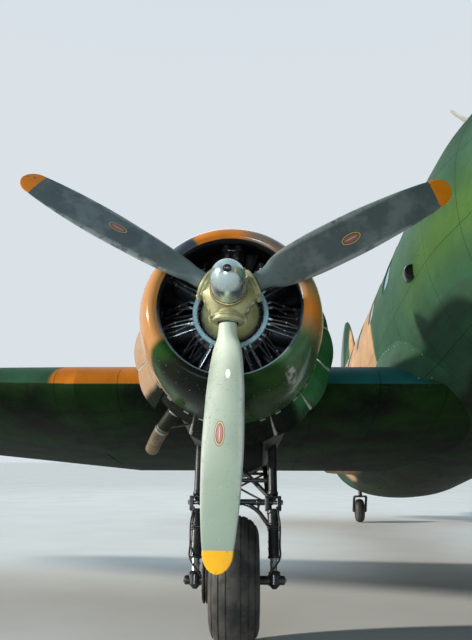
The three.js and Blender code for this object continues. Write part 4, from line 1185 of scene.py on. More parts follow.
wing = {
    # x, nose, z, chord, depth of the section, drop of the trailing edge
    "rows": [(4300, 4765, -90, 4320, 648, 150.76), (12000, 6847.7, 587.2, 2288.3, 214.8, 45.38),
             (12600, 7010, 640, 2130, 181.05, 37.17), (13700, 7340, 740, 1760, 132, 30.72),
             (14250, 7640, 790, 1330, 93.1, 23.21), (14555, 8100, 820, 620, 37.2, 10.82)],
    "flapShare": 0.84, "flapDepth": 34, "flapThick": 28, "aileronShare": 0.76, "cove": 9,
    "innerFlap": (1420, 4240), "outerFlap": (4400, 8500), "aileron": (8700, 13600), "steps": 34,
    "root": 4300, "tip": 14555, "endGap": 6, "aileronGap": 10, "armShares": (0.12, 0.88),
    "lampSpan": (9350, 9750),
}
wingCurves = curvesOf(wing["rows"])


def wingValues(x):
    nose, z, chord, depth, drop = (curve(np.abs(x)) for curve in wingCurves)
    return nose, z, chord, depth / chord, np.arcsin(drop / chord)


# A point of the wing: its share of the chord, and its height over the chord line in mm.
def onWing(x, u, v):
    nose, z, chord, thickness, tilt = wingValues(x)
    y = nose + u * chord * np.cos(tilt) + v * np.sin(tilt)
    return np.stack([x + 0 * y, y, z + v * np.cos(tilt) - u * chord * np.sin(tilt)], axis=-1)


def wingSide(x, u, side):
    nose, z, chord, thickness, tilt = wingValues(x)
    return (meanLine(u) + side * halfDepth(thickness, u)) * chord


def spread(start, end, count):
    # Shares of the chord, closer together at the nose.
    t = np.linspace(0, 1, count)
    low, high = math.acos(1 - 2 * start), math.acos(1 - 2 * end)
    return 0.5 * (1 - np.cos(low + (high - low) * t))


# Where the flap's upper face meets the wing's top, as a share of the chord.
def flapMeet(x, lift):
    share = wing["flapShare"]
    chord = wingValues(x)[2]
    u = np.linspace(share, 1, 200)
    low = wingSide(x, share, -1)
    slope = (wingSide(x, 0.97, -1) - low) / (0.97 - share)
    gap = wingSide(x, u, 1) - (low + slope * (u - share) + lift)
    return float(np.interp(0.0, -gap, u)), float(low), float(slope)


# Closed outlines of shares and heights. Each kind keeps its point count along the span.
def wingOutline(kind, x):
    chord = wingValues(x)[2]
    if kind == "plain":
        upper = spread(0, 1, wing["steps"])
        lower = upper[1:-1]
        u = np.concatenate([upper[::-1], lower])
        v = np.concatenate([wingSide(x, upper[::-1], 1), wingSide(x, lower, -1)])
        return u, v
    if kind == "flapped":
        end, low, slope = flapMeet(x, wing["flapDepth"])
        upper, lower = spread(0, end, wing["steps"]), spread(0, wing["flapShare"], 26)[1:]
        step = np.linspace(wing["flapShare"], end, 6)[:-1]
        shelf = low + slope * (step - wing["flapShare"]) + wing["flapDepth"]
        u = np.concatenate([upper[::-1], lower, step])
        v = np.concatenate([wingSide(x, upper[::-1], 1), wingSide(x, lower, -1), shelf])
        return u, v
    if kind == "flap":
        end, low, slope = flapMeet(x, wing["flapThick"])
        lower = np.linspace(wing["flapShare"], 1, 8)
        upper = np.linspace(1, end, 5)[1:]
        step = np.linspace(end, wing["flapShare"], 6)[1:]
        shelf = low + slope * (step - wing["flapShare"]) + wing["flapThick"]
        u = np.concatenate([lower, upper, step])
        v = np.concatenate([wingSide(x, lower, -1), wingSide(x, upper, 1), shelf])
        return u, v
    # The aileron's nose and its cove are arcs about the hinge.
    share = wing["aileronShare"]
    middle = meanLine(share) * chord
    half = float(halfDepth(wingValues(x)[3], share) * chord)
    radius = 1.04 * half + 5
    if kind == "cove":
        radius += wing["cove"]
    meet = math.sqrt(radius ** 2 - half ** 2) / chord
    if kind == "cove":
        upper, lower = spread(0, share - meet, 30), spread(0, share - meet, 30)[1:]
        ends = [wingSide(x, lower[-1], -1) - middle, wingSide(x, upper[-1], 1) - middle]
    else:
        upper, lower = np.linspace(share - meet, 1, 16)[::-1], np.linspace(share - meet, 1, 16)[1:]
        ends = [wingSide(x, share - meet, 1) - middle, wingSide(x, share - meet, -1) - middle]
    angles = [math.atan2(float(e), meet * chord) for e in ends]
    arc = np.linspace(angles[0], angles[1], 11)[1:-1]
    arcU, arcV = share - radius * np.cos(arc) / chord, middle + radius * np.sin(arc)
    if kind == "cove":
        u = np.concatenate([upper[::-1], lower, arcU])
        v = np.concatenate([wingSide(x, upper[::-1], 1), wingSide(x, lower, -1), arcV])
        return u, v
    u = np.concatenate([lower[::-1], [share - meet], arcU[::-1], [share - meet], upper[::-1][1:-1]])
    v = np.concatenate([wingSide(x, lower[::-1], -1), [wingSide(x, share - meet, -1)], arcV[::-1],
                        [wingSide(x, share - meet, 1)], wingSide(x, upper[::-1][1:-1], 1)])
    return u, v


# The hinge line as a point and its rise aft and up for each mm outward. A flap's lies in the
# wing's lower face, and an aileron's on its mean line.
def hingeLine(ends, share, lower):
    spots = []
    for x in ends:
        v = wingSide(x, share, -1) if lower else meanLine(share) * wingValues(x)[2]
        spots.append(onWing(float(x), share, v))
    way = spots[1] - spots[0]
    return spots[0], way / way[0]


# Sections between two span stations, their ends square to a hinge line.
def wingRun(kind, start, end, count, line=None, side=1):
    rows = []
    for x in np.linspace(start, end, count):
        u, v = wingOutline(kind, x)
        points = onWing(x, u, v)
        if line:
            origin, way = line
            at = origin + way * (x - origin[0])
            shift = -(way[1] * (points[:, 1] - at[1]) + way[2] * (points[:, 2] - at[2]))
            shift = shift * np.clip((u - 0.5) / 0.2, 0, 1)
            points = onWing(x + shift, u, v)
        rows.append(points * (side, 1, 1))
    return np.array(rows)


def wings():
    inner, outer, aileron = wing["innerFlap"], wing["outerFlap"], wing["aileron"]
    innerLine, outerLine = (hingeLine(ends, wing["flapShare"], True) for ends in (inner, outer))
    aileronLine = hingeLine(aileron, wing["aileronShare"], False)
    endGap, aileronGap = wing["endGap"], wing["aileronGap"]
    centre = Piece("wingCentreSkin", "wing", "steel")
    for side in (-1, 1):
        for run in (("plain", 0, inner[0] - endGap, 8), ("flapped", inner[0] - endGap, inner[1] + endGap, 12),
                    ("plain", inner[1] + endGap, wing["root"], 2)):
            centre.shell(wingRun(*run, side=side), side < 0)
    centre.done("airframe", ("wing_centre",), "body_paint", outward=True)
    # Kind, ends, count of sections and hinge line of each length of the outer wing.
    outerRuns = (("plain", wing["root"] + 0.4, outer[0] - endGap, 2, None),
                 ("flapped", outer[0] - endGap, outer[1] + endGap, 16, outerLine),
                 ("plain", outer[1] + endGap, aileron[0] - aileronGap, 3, outerLine),
                 ("cove", aileron[0] - aileronGap, aileron[1] + aileronGap, 24, aileronLine),
                 ("plain", aileron[1] + aileronGap, wing["tip"], 26, None))
    for name, side in sides.items():
        skin = Piece("wingSkin" + name.capitalize(), "wing", "steel")
        for run in outerRuns:
            skin.shell(wingRun(*run, side), side < 0)
        origin, way = aileronLine
        for share in wing["armShares"]:
            x = aileron[0] + (aileron[1] - aileron[0]) * share
            hingeArm(skin, (origin + way * (x - origin[0])) * (side, 1, 1), 95)
        tipLamp(side, name)
        skin.done("airframe", ("wing_" + name,), "body_paint", outward=True)
        # Looks, run, name of the piece, body and node of each moving panel.
        metal, fabric = ("wing", "inside"), ("fabric",)
        panels = (
            (metal, ("flap", *outer, 12, outerLine), "flapOuter", "flap_outer_%s_body", "flap_outer_"),
            (metal, ("flap", *inner, 8, innerLine), "flapInner", "flaps_inner", "flap_inner_"),
            (fabric, ("aileron", *aileron, 24, aileronLine), "aileronSkin", "aileron_%s_body", "aileron_"),
        )
        for looks, run, label, body, node in panels:
            panel = Piece(label + name.capitalize(), *looks)
            panel.shell(wingRun(*run, side), side < 0)
            panel.done(body.replace("%s", name), (node + name,), "body_paint", outward=True)


# An eye on the hinge line, and the arm that holds it to the fixed part ahead.
def hingeArm(piece, eye, reach, way=(1, 0, 0)):
    half = np.array(way) * 9
    piece.bar(eye - half, eye + half, 14, tone=1)
    piece.bar(eye, eye + (0, -reach, 0), 7, tone=1)


# Position lamp at the tip, on the nose curve.
def tipLamp(side, name):
    x, share = 13950.0, 0.10
    tip = onWing(x, share, wingSide(x, share, 1))
    lamp = Piece("tipLamp" + name.capitalize(), "lampRed" if side > 0 else "lampGreen")
    profile = [(0, 30), (10, 28), (19, 20), (24, 8), (25, 0)]
    lamp.turned(profile, tip * (side, 1, 1) + (0, 0, -3), (0, 0, 1), 20)
    lamp.done("airframe", (), "glass")


wings()
print("wings made")


# Tail

tailShape = {
    "planeZ": 1350, "elevatorHinge": 16950, "rudderHinge": 17600, "rootX": 500, "gap": 9, "finGap": 12,
    "bend": 3300, "tipX": 4065, "armShares": (0.15, 0.8), "finArms": (2645, 3990),
    "finFoot": 1400, "rudderFoot": 1800, "finBend": 4400, "finTop": 5145,
    # x, nose, chord, thickness of the tailplane
    "plane": [(0, 14860, 2930, 0.1), (1800, 15487, 2292, 0.0945), (3300, 16010, 1760, 0.09),
              (3800, 16270, 1450, 0.085), (4065, 16720, 780, 0.08)],
    # z, nose, end, thickness of the fin and rudder
    "fin": [(1300, 13500, 18700, 0.06), (2010, 14350, 19150, 0.075), (2300, 15050, 19300, 0.085),
            (2900, 15500, 19400, 0.085), (3700, 15960, 19270, 0.08), (4400, 16400, 18930, 0.075),
            (4850, 16800, 18480, 0.07), (5050, 17120, 18130, 0.07), (5145, 17450, 17800, 0.07)],
}
planeCurves, finCurves = curvesOf(tailShape["plane"]), curvesOf(tailShape["fin"])


# Half of a plain section, cut at a hinge station: the fixed part with a cove, or the moving
# part with a round nose. Returns distances aft and half depths as a closed outline.
def hingedOutline(kind, nose, chord, thickness, hinge, gap):
    share = (hinge - nose) / chord
    half = float(halfDepth(thickness, share) * chord)
    radius = 1.04 * half + 3 + (gap if kind == "fixed" else 0)
    meet = math.sqrt(max(radius ** 2 - half ** 2, 1)) / chord
    edge = share - meet
    if kind == "fixed":
        u = spread(0, edge, 26)
        depth = halfDepth(thickness, u) * chord
        angle = math.asin(min(1.0, float(depth[-1]) / radius))
        arc = np.linspace(-angle, angle, 11)[1:-1]
        y = np.concatenate([u[::-1] * chord, u[1:] * chord, (share * chord) - radius * np.cos(arc)])
        d = np.concatenate([depth[::-1], -depth[1:], radius * np.sin(arc)])
        return nose + y, d
    u = np.linspace(edge, 1, 18)
    depth = halfDepth(thickness, u) * chord
    angle = math.asin(min(1.0, float(depth[0]) / radius))
    arc = np.linspace(-angle, angle, 11)[1:-1]
    y = np.concatenate([u[::-1] * chord, (share * chord) - radius * np.cos(arc), u[:-1] * chord])
    d = np.concatenate([-depth[::-1], radius * np.sin(arc), depth[:-1]])
    return nose + y, d


def tailplanes():
    z, hinge, root, tipX = (tailShape[key] for key in ("planeZ", "elevatorHinge", "rootX", "tipX"))
    bend = tailShape["bend"]
    for name, side in sides.items():
        for kind, start, body in (("fixed", 0, "airframe"), ("moving", root, "elevators")):
            rows = []
            for x in np.concatenate([np.linspace(start, bend, 16), np.linspace(bend, tipX, 18)[1:]]):
                nose, chord, thickness = (float(curve(x)) for curve in planeCurves)
                y, d = hingedOutline(kind, nose, chord, thickness, hinge, tailShape["gap"])
                rows.append(np.stack([np.full(len(y), side * x), y, z + d], axis=-1))
            if kind == "moving":
                piece = Piece("elevatorSkin" + name.capitalize(), "fabric")
                replaces = ("elevator_" + name,)
            else:
                # Both halves are one node of the frame, which the left one replaces.
                piece = Piece("tailplaneSkin" + name.capitalize(), "wing", "steel")
                replaces = ("tailplane",) if side > 0 else ()
            piece.shell(rows, side < 0)
            for share in tailShape["armShares"] if kind == "fixed" else ():
                hingeArm(piece, vec(side * (root + (tipX - root) * share), hinge, z), 100)
            piece.done(body, replaces, "body_paint", outward=True)


def finAndRudder():
    hinge, bend = tailShape["rudderHinge"], tailShape["finBend"]
    fin, rudder = Piece("finSkin", "body", "steel"), Piece("rudderSkin", "rudderFabric")
    for piece, kind, foot in ((fin, "fixed", "finFoot"), (rudder, "moving", "rudderFoot")):
        rows = []
        top = np.linspace(bend, tailShape["finTop"], 24)[1:]
        for z in np.concatenate([np.linspace(tailShape[foot], bend, 44), top]):
            nose, end, thickness = (float(curve(z)) for curve in finCurves)
            y, d = hingedOutline(kind, nose, end - nose, thickness, hinge, tailShape["finGap"])
            rows.append(np.stack([d, y, np.full(len(y), z)], axis=-1))
        piece.shell(rows)
    for z in tailShape["finArms"]:
        hingeArm(fin, vec(0, hinge, z), 130, (0, 0, 1))
    fin.done("airframe", ("fin",), "body_paint", outward=True)
    rudder.done("rudder_body", ("rudder",), "body_paint", outward=True)


tailplanes()
finAndRudder()
print("tail made")


# Engines and propellers

cowlShape = {
    # radius and distance aft of the propeller's plane
    "outer": [(497, 215), (494, 196), (498, 178), (508, 163), (524, 152), (544, 148), (568, 155), (594, 178),
              (618, 215), (640, 268), (656, 338), (668, 420), (676, 510), (678, 620), (677, 780), (674, 930)],
    "inner": [(652, 929), (649, 700), (645, 520), (629, 390), (597, 300), (549, 252), (507, 230), (497, 215)],
    "edgeSteps": 13, "joints": (60, 180, 300), "latches": (500, 830), "fasteners": 36,
}
flapShape = {
    "petals": 14, "gap": math.radians(1.3), "reach": 285, "root": 677, "hinge": 940, "thick": 4.5,
    "sideAngle": 31, "lowAngle": 24, "shortShare": 0.42, "shortWithin": math.radians(14),
    # distance aft and height of a petal's outer face
    "bow": [(0, 0), (30, 0), (90, 1), (180, 0), (258, -1), (285, 0)],
}
engineShape = {
    "cylinders": 7, "frontRow": 540, "rearRow": 780, "ringRadius": 255, "ringAt": 322,
    "studs": 20, "ringBolts": 28,
    # places on a head: out from the thrust line, round, and ahead of the row
    "rocker": (588, 44, 36), "plug": (512, 26, 80), "drain": (556, 30, 92),
    "rodFoot": (232, 412), "rodApart": 0.10, "leadApart": 0.075,
}
propShape = {
    "clock": math.radians(181.9), "blades": 3, "tipFrom": 1640, "tip": 1765, "tipChord": 200, "around": 32,
    # radius, chord, thickness, angle to the plane of rotation
    "rows": [(170, 118, 116, 43), (290, 150, 106, 41), (360, 222, 90, 39), (440, 260, 76, 37),
             (560, 284, 62, 34), (720, 300, 50, 31), (960, 302, 38, 26.5), (1260, 278, 26, 22),
             (1560, 224, 16, 19), (1640, 200, 14, 18), (1765, 160, 7, 18)],
    "bladeFoot": 188, "flatFrom": 300, "flatOver": 500, "flange": 166, "flangeBolts": (-84, -30, 30, 84),
}


def hubFrame(side):
    return vec(side * engineX, propStation, 0)


# A way out from the thrust line, by its clock angle, and the way round from it.
def radial(turn):
    return vec(math.sin(turn), 0, math.cos(turn))


def around(turn):
    return vec(math.cos(turn), 0, -math.sin(turn))


def aft(y):
    return vec(0, y, 0)


# A ring of bolts on a face that looks forward. shift is a share of their pitch.
def boltRing(piece, origin, count, radius, y, size, tone, shift=0.0):
    for k in range(count):
        piece.bolt(origin + radial((k + shift) * full / count) * radius + aft(y), (0, -1, 0), size, tone)


def bladeClocks():
    return [propShape["clock"] + full * k / propShape["blades"] for k in range(propShape["blades"])]


def blades(piece, origin):
    chordAt, thickAt, pitchAt = curvesOf(propShape["rows"])
    tipFrom, tip = propShape["tipFrom"], propShape["tip"]
    tipRadii = tipFrom + (tip - tipFrom) * np.sin(np.linspace(0.09, 1.52, 18))
    radii = np.concatenate([np.linspace(propShape["bladeFoot"], tipFrom, 58), tipRadii])
    steps = np.arange(propShape["around"]) * full / propShape["around"]
    blank = np.zeros(len(steps))
    charts, faces = [], []
    for k, turn in enumerate(bladeClocks()):
        out, ahead, forward = radial(turn), -around(turn), vec(0, -1, 0)
        blade = []
        for r in radii:
            chord, thick = float(chordAt(r)), float(thickAt(r))
            if r > tipFrom:
                chord = propShape["tipChord"] * math.sqrt(1 - ((r - tipFrom) / (tip - tipFrom)) ** 2 * 0.998)
            angle = math.radians(float(pitchAt(r)))
            along = ahead * math.cos(angle) + forward * math.sin(angle)
            across = forward * math.cos(angle) - ahead * math.sin(angle)
            flat = min(1.0, max(0.0, (r - propShape["flatFrom"]) / propShape["flatOver"]))
            c = chord / 2 * np.cos(steps)
            lift = np.sin(steps) * (1 + 0.22 * flat * np.cos(steps))
            t = thick / 2 * np.where(lift > 0, lift, lift * (1 - 0.35 * flat))
            blade.append(origin + out * r + np.outer(c, along) + np.outer(t, across))
            charts.append(np.stack([c / 1000, blank + r / 1000, blank + k], axis=-1))
            faces.append(np.stack([(t > 0).astype(float), blank, blank], axis=-1))
        piece.sheet(blade, around=True, caps=True)
    return charts, faces


# The hub's outline: straight between two blades, drawn in where the sockets cover it.
def flangeRadius(turn):
    apart = full / propShape["blades"]
    away = abs((turn - propShape["clock"]) % apart - apart / 2)
    corner = math.radians(30)
    return propShape["flange"] / math.cos(min(away, corner)) - 76 * max(0.0, away - corner)


def hubCasting(piece, origin):
    turns = np.arange(90) * full / 90
    flange = np.array([flangeRadius(turn) for turn in turns])
    # share of the flange's outline, plain radius for the rest of it, and distance aft
    profile = [(0, 120, -109), (0, 128, -96), (0.45, 140, -70), (0.88, 150, -42), (1, 0, -30), (1, 0, -2),
               (0.975, 4, 0), (1, 0, 2), (1, 0, 30), (0.88, 14, 42), (0.45, 60, 62), (0, 116, 92),
               (0, 96, 118), (0, 87, 140), (0, 84, 164)]
    rows = []
    for share, plain, y in profile:
        radius = flange * share + plain * (1 - share)
        rows.append(origin + radius[:, None] * np.array([radial(turn) for turn in turns]) + aft(y))
    piece.sheet(rows, around=True, tone=1)
    # The barrel's halves are bolted together along the straight flanges.
    for clock in bladeClocks():
        middle = clock + math.pi / propShape["blades"]
        for s in propShape["flangeBolts"]:
            spot = origin + radial(middle) * (propShape["flange"] - 12) + around(middle) * s
            piece.bar(spot + aft(-36), spot + aft(36), 20, steps=16, tone=1)
            for way in (-1, 1):
                piece.bolt(spot + aft(way * 36), (0, way, 0), 13, tone=2)
                piece.bar(spot + aft(way * 44), spot + aft(way * 54), 6, steps=8, tone=2)


def bladeSocket(piece, origin, clock):
    out, level = radial(clock), around(clock)
    profile = [(80, 56), (97, 74), (101, 120), (97, 140), (99, 146), (105, 150), (107, 158), (107, 163),
               (101, 166), (101, 171), (107, 174), (107, 182), (103, 190), (92, 195), (70, 196)]
    piece.turned(profile, origin, out, 52, tone=1)
    piece.turned([(72, 196), (66, 192), (58, 189)], origin, out, 40, tone=3)
    piece.turned([(59, 197), (63, 199), (63, 205), (59, 207)], origin, out, 40, tone=3)
    # The clamp's lugs, drawn together by a bolt on either side.
    for s in (-1, 1):
        lug = origin + out * 168 + level * s * 112
        shank = lug + level * s * 4
        for way in (-1, 1):
            piece.slab(lug + aft(way * 17), (34, 22, 36), (level, (0, 1, 0), out), cut=6, tone=1)
            piece.bolt(shank + aft(way * 29), (0, way, 0), 12, tone=2)
        piece.bar(shank + aft(-46), shank + aft(42), 5.5, steps=8, tone=2)


domeRadius = 115


def propDome(name, origin):
    dome = Piece("propDome" + name.capitalize(), "dome", "steel", "dark", "brass")
    cap = [(domeRadius * math.cos(turn), -300 - 154 * math.sin(turn)) for turn in np.linspace(1.33, 0, 26)]
    dome.turned(cap + [(domeRadius, -240), (domeRadius, -158)], origin, (0, 1, 0), 80)
    dome.turned([(domeRadius, -158), (111, -155), (111, -151), (117, -149)], origin, (0, 1, 0), 80, tone=2)
    base = [(117, -149), (122, -148), (125, -144), (126, -136), (126, -124), (124, -118), (119, -111),
            (60, -111)]
    dome.turned(base, origin, (0, 1, 0), 80, tone=3)
    # The plug in its nose: a dark seat, a slotted cap and its locking wire.
    seat = origin + aft(cap[0][1])
    dome.turned([(28, 1), (24, -1), (23, 5), (0, 5)], seat, (0, 1, 0), 40, tone=2)
    dome.turned([(19, 5), (19, -3), (16, -5), (9, -5), (8, -1), (0, -1)], seat, (0, 1, 0), 32, tone=2)
    dome.bar(seat + (-20, -2, 4), seat + (20, -2, -2), 3.2, steps=8, tone=1)
    dome.bolt(seat + (3, -2, 1), (0, -1, 0), 7, tone=1)
    boltRing(dome, origin, 24, 121, -147, 3, 1)
    dome.done("propeller_" + name + "_body", ("prop_dome_" + name,), "polished_metal", outward=True)


def propeller(side, name):
    piece = Piece("propellerBlades" + name.capitalize(), "blade", "hub", "steel", "dark")
    origin = hubFrame(side)
    charts, faces = blades(piece, origin)
    charted = piece.count
    hubCasting(piece, origin)
    for clock in bladeClocks():
        bladeSocket(piece, origin, clock)
    blank = np.zeros((piece.count - charted, 3))
    for chart, values in (("bladeChart", charts), ("bladeFace", faces)):
        piece.charts[chart] = np.concatenate(values + [blank])
    piece.done("propeller_" + name + "_body", ("propeller_" + name,), "propeller", sharp=38, outward=True)
    propDome(name, origin)


# The outline of a barrel with its fins, and of the head with more of them.
def finnedBarrel():
    profile = [(84, 290), (84, 304), (78, 306)]
    for out in range(312, 452, 14):
        profile += [(72, out), (89, out + 2), (89, out + 5), (72, out + 7)]
    profile += [(80, 456), (80, 462)]
    for out in range(466, 590, 13):
        profile += [(78, out), (92, out + 2), (92, out + 4), (78, out + 6)]
    return profile + [(80, 596), (66, 606), (30, 612), (0, 612)]


def cylinder(piece, origin, turn, row):
    out, level, front = radial(turn), around(turn), vec(0, -1, 0)
    base = origin + aft(row)
    piece.turned(finnedBarrel(), base, out, 22, tone=0)
    ringRadius, ringAt = engineShape["ringRadius"], engineShape["ringAt"]
    footRadius, footAt = engineShape["rodFoot"]

    def onHead(key, hand):
        high, wide, ahead = engineShape[key]
        return base + out * high + level * hand * wide + front * ahead

    for hand in (-1, 1):
        # Rocker box with its lid.
        spot, axes = onHead("rocker", hand), (level, front, out)
        piece.slab(spot, (60, 100, 60), axes, cut=16, tone=3)
        piece.slab(spot + front * 48, (44, 12, 44), axes, cut=4, tone=3)
        piece.bolt(spot + front * 54, front, 8, tone=6)
        # Push rod tube from the case up to the box, with a gland at either end.
        foot = origin + radial(turn + hand * engineShape["rodApart"]) * footRadius + aft(footAt)
        rod = spot + front * 30 - out * 20 - foot
        tubes = ((0, 1, 8, 10, 1), (0.80, 1, 13, 10, 3), (0.76, 0.80, 15, 8, 6), (0, 0.09, 14, 10, 6))
        for start, end, radius, steps, tone in tubes:
            piece.bar(foot + rod * start, foot + rod * end, radius, steps=steps, tone=tone)
        # Spark plug, elbow and lead in to the ring.
        plug = onHead("plug", hand)
        piece.bar(plug, plug + front * 44, 9, steps=8, tone=3)
        piece.bar(plug + front * 10, plug + front * 18, 14, steps=6, tone=6)
        ring = origin + radial(turn + hand * engineShape["leadApart"]) * (ringRadius + 14) + aft(ringAt + 8)
        elbow = plug + front * 46
        bend = ring + (elbow - ring) * 0.55 + front * 14 + level * hand * 8
        lead = [elbow, elbow + front * 20 - out * 16, bend, ring + out * 40, ring]
        piece.hose(flowing(lead, 5), 5.2, 8, tone=2)
        piece.bar(ring, ring + out * 26, 8.5, steps=8, tone=5)
        piece.bar(ring + out * 26, ring + out * 34, 10.5, steps=6, tone=6)
        piece.bar(bend - out * 5, bend + out * 5, 9, steps=8, tone=6)
    # A drain pipe between the rocker boxes.
    piece.bar(onHead("drain", -1), onHead("drain", 1), 6, steps=8, tone=1)


def noseCase(piece, origin):
    bell = [(84, 166), (92, 186), (100, 206), (128, 222), (162, 244), (186, 276), (200, 316), (203, 346)]
    piece.turned(flowing(bell, 5), origin, (0, 1, 0), 72, tone=4)
    case = [(203, 346), (214, 348), (215, 358), (206, 360), (206, 420), (226, 426), (286, 450), (289, 470),
            (289, 1146)]
    piece.turned(case, origin, (0, 1, 0), 56, tone=3)
    boltRing(piece, origin, engineShape["studs"], 209, 347, 6, 6, 0.3)
    boltRing(piece, origin, 12, 113, 213, 5.5, 6)
    # The governor on top of the case with its pipe, the sump below and its two drains.
    piece.bar(origin + (0, 332, 190), origin + (0, 336, 252), 26, 22, tone=3)
    piece.bar(origin + (0, 336, 250), origin + (0, 338, 300), 13, 12, tone=8)
    piece.bar(origin + (0, 336, 268), origin + (0, 337, 284), 17, steps=6, tone=8)
    pipe = vec((0, 338, 298), (0, 340, 340), (2, 344, 386), (12, 380, 430))
    piece.hose(flowing(origin + pipe, 5), 7.5, 10, tone=8)
    piece.slab(origin + (0, 380, -262), (120, 90, 90), cut=18, tone=3)
    for x in (-70, 60):
        drain = vec((x, 390, -200), (x * 1.6, 386, -300), (x * 1.3, 420, -430), (x * 1.9, 510, -520))
        piece.hose(flowing(origin + drain, 6), 9, 10, tone=3)


def harness(piece, origin):
    at, radius = engineShape["ringAt"], engineShape["ringRadius"]
    section = [(radius - 17, at - 7), (radius - 12, at - 13), (radius + 12, at - 13), (radius + 17, at - 7),
               (radius + 17, at + 11), (radius - 17, at + 11)]
    piece.turned(section, origin, (0, 1, 0), 112, tone=5, closed=True)
    for k in range(engineShape["ringBolts"]):
        out = radial((k + 0.5) * full / engineShape["ringBolts"])
        piece.bolt(origin + out * (radius - 10) + aft(at - 13), (0, -1, 0), 4, tone=6)
        lug = origin + out * (radius - 17) + aft(at)
        piece.bar(lug, lug - out * 7 + aft(2), 5, steps=8, tone=6)
    for k in range(engineShape["cylinders"]):
        out = radial((k + 0.25) * full / engineShape["cylinders"])
        piece.bar(origin + out * 205 + aft(354), origin + out * 244 + aft(at + 4), 8, steps=8, tone=3)


def engine(side, name):
    origin = hubFrame(side)
    looks = ("fins", "rods", "leads", "case", "bowl", "ring", "steel", "dark", "white")
    piece = Piece("engineDetail" + name.capitalize(), *looks)
    noseCase(piece, origin)
    harness(piece, origin)
    count = engineShape["cylinders"]
    for row, start in ((engineShape["frontRow"], 0.0), (engineShape["rearRow"], 0.5)):
        for k in range(count):
            cylinder(piece, origin, full * (k + start) / count, row)
    # Air baffles between the heads, and a dark wall behind them that closes off the cowl's inside as painted
    # shade.
    for k in range(2 * count):
        turn = (k + 0.5) * math.pi / count
        rows = []
        for r in (330, 420, 520, 620):
            wide = 26 + (r - 330) * 0.16
            spots = ((-wide, 592), (-wide * 0.4, 622), (wide * 0.4, 622), (wide, 592))
            rows.append([origin + radial(turn) * r + around(turn) * w + aft(y) for w, y in spots])
        piece.sheet(rows, tone=7)
    piece.turned([(290, 905), (640, 905)], origin, (0, 1, 0), 48, tone=7)
    piece.done("airframe", ("engine_" + name,), "engine_metal", sharp=30, outward=True)


def cowl(side, name):
    origin = hubFrame(side)
    piece = Piece("cowlSkin" + name.capitalize(), "cowl", "lip", "dark", "steel")
    outer = flowing(cowlShape["outer"], 4)
    edge = cowlShape["edgeSteps"]
    piece.turned(outer[edge:], origin, (0, 1, 0), 128, tone=0)
    piece.turned(outer[:edge + 1], origin, (0, 1, 0), 128, tone=1)
    piece.turned([cowlShape["outer"][-1], cowlShape["inner"][0]], origin, (0, 1, 0), 128, tone=0)
    # The inner return is near-black, a painted shade for the cowl's inside.
    piece.turned(flowing(cowlShape["inner"], 3), origin, (0, 1, 0), 96, tone=2)
    # Latches over the joints of the three cowl panels.
    for turn in np.radians(cowlShape["joints"]):
        out = radial(turn)
        for y in cowlShape["latches"]:
            axes = (around(turn), (0, 1, 0), out)
            piece.slab(origin + out * 676 + aft(y), (34, 60, 7), axes, cut=2.5, tone=3)
            piece.bolt(origin + out * 679 + aft(y - 18), out, 5, tone=3)
    # Row of quarter turn fasteners along the front seam.
    for k in range(cowlShape["fasteners"]):
        out = radial((k + 0.5) * full / cowlShape["fasteners"])
        piece.bolt(origin + out * 641 + aft(272), unit(out + aft(-0.42)), 3, tone=3)
    piece.done("airframe", ("cowl_" + name,), "body_paint", sharp=40, outward=True)


# Each petal leans out at its own angle, a little less below. The ones by the stack are short.
def cowlFlaps(side, name):
    origin = hubFrame(side)
    piece = Piece("cowlFlapPetals" + name.capitalize(), "petals", "steel", "dark", "strap")
    count, gap, reach = (flapShape[key] for key in ("petals", "gap", "reach"))
    root, hingeAt = flapShape["root"], flapShape["hinge"]
    stackTurn = math.atan2(side * 560, -580)
    along = flowing(flapShape["bow"], 3)
    for k in range(count):
        start, end = k * full / count + gap / 2, (k + 1) * full / count - gap / 2
        turns = np.linspace(start, end, 13)
        middle = (start + end) / 2
        low = max(0.0, -math.cos(middle)) ** 2
        angle = math.radians(flapShape["sideAngle"] * (1 - low) + flapShape["lowAngle"] * low)
        run, rise = math.cos(angle), math.sin(angle)
        near = abs((middle - stackTurn + math.pi) % full - math.pi) < flapShape["shortWithin"]
        length = flapShape["shortShare"] if near else 1.0
        bulge = 1 - np.cos((turns - middle) / (end - start) * math.pi)
        layers = []
        for lift in (0, -flapShape["thick"]):
            rows = []
            for d, bow in along * (length, 1):
                radius = (root + d * rise + (lift + bow) * run) * (1 - 0.018 * bulge * d / reach)
                y = hingeAt + d * run - (lift + bow) * rise
                rows.append([origin + radial(turn) * r + aft(y) for turn, r in zip(turns, radius)])
            layers.append(np.array(rows))
        piece.panel(layers)
        # Hinge barrels at the front edge, and the strap over the gap to the next petal.
        for share in (0.2, 0.8):
            turn = start + (end - start) * share
            hinge = origin + radial(turn) * (root + 1) + aft(hingeAt - 2)
            piece.bar(hinge - around(turn) * 22, hinge + around(turn) * 22, 6, steps=8, tone=1)
        if near:
            continue
        strap = []
        turn = end + gap / 2
        for d in np.linspace(14, reach - 24, 6):
            wide = 4 + 11 * (d / reach)
            centre = origin + radial(turn) * (root - 10 + d * rise) + aft(hingeAt + 2 + d * run)
            across = around(turn) * wide
            strap.append([centre - across, centre + radial(turn) * 4, centre + across])
        piece.sheet(strap, tone=3)
    ring = [(643, 931), (674, 931), (674, 956), (643, 956)]
    piece.turned(ring, origin, (0, 1, 0), 96, tone=2, closed=True)
    piece.done("airframe", ("cowl_flaps_" + name,), "body_paint", sharp=30, outward=True)


stack = {
    "route": [(380, 1148, -400), (470, 1230, -500), (600, 1380, -640), (700, 1640, -735)],
    "radius": 56, "outlet": 11, "wall": 4, "bands": (8, 15), "bandHalf": 10, "depth": 150,
}


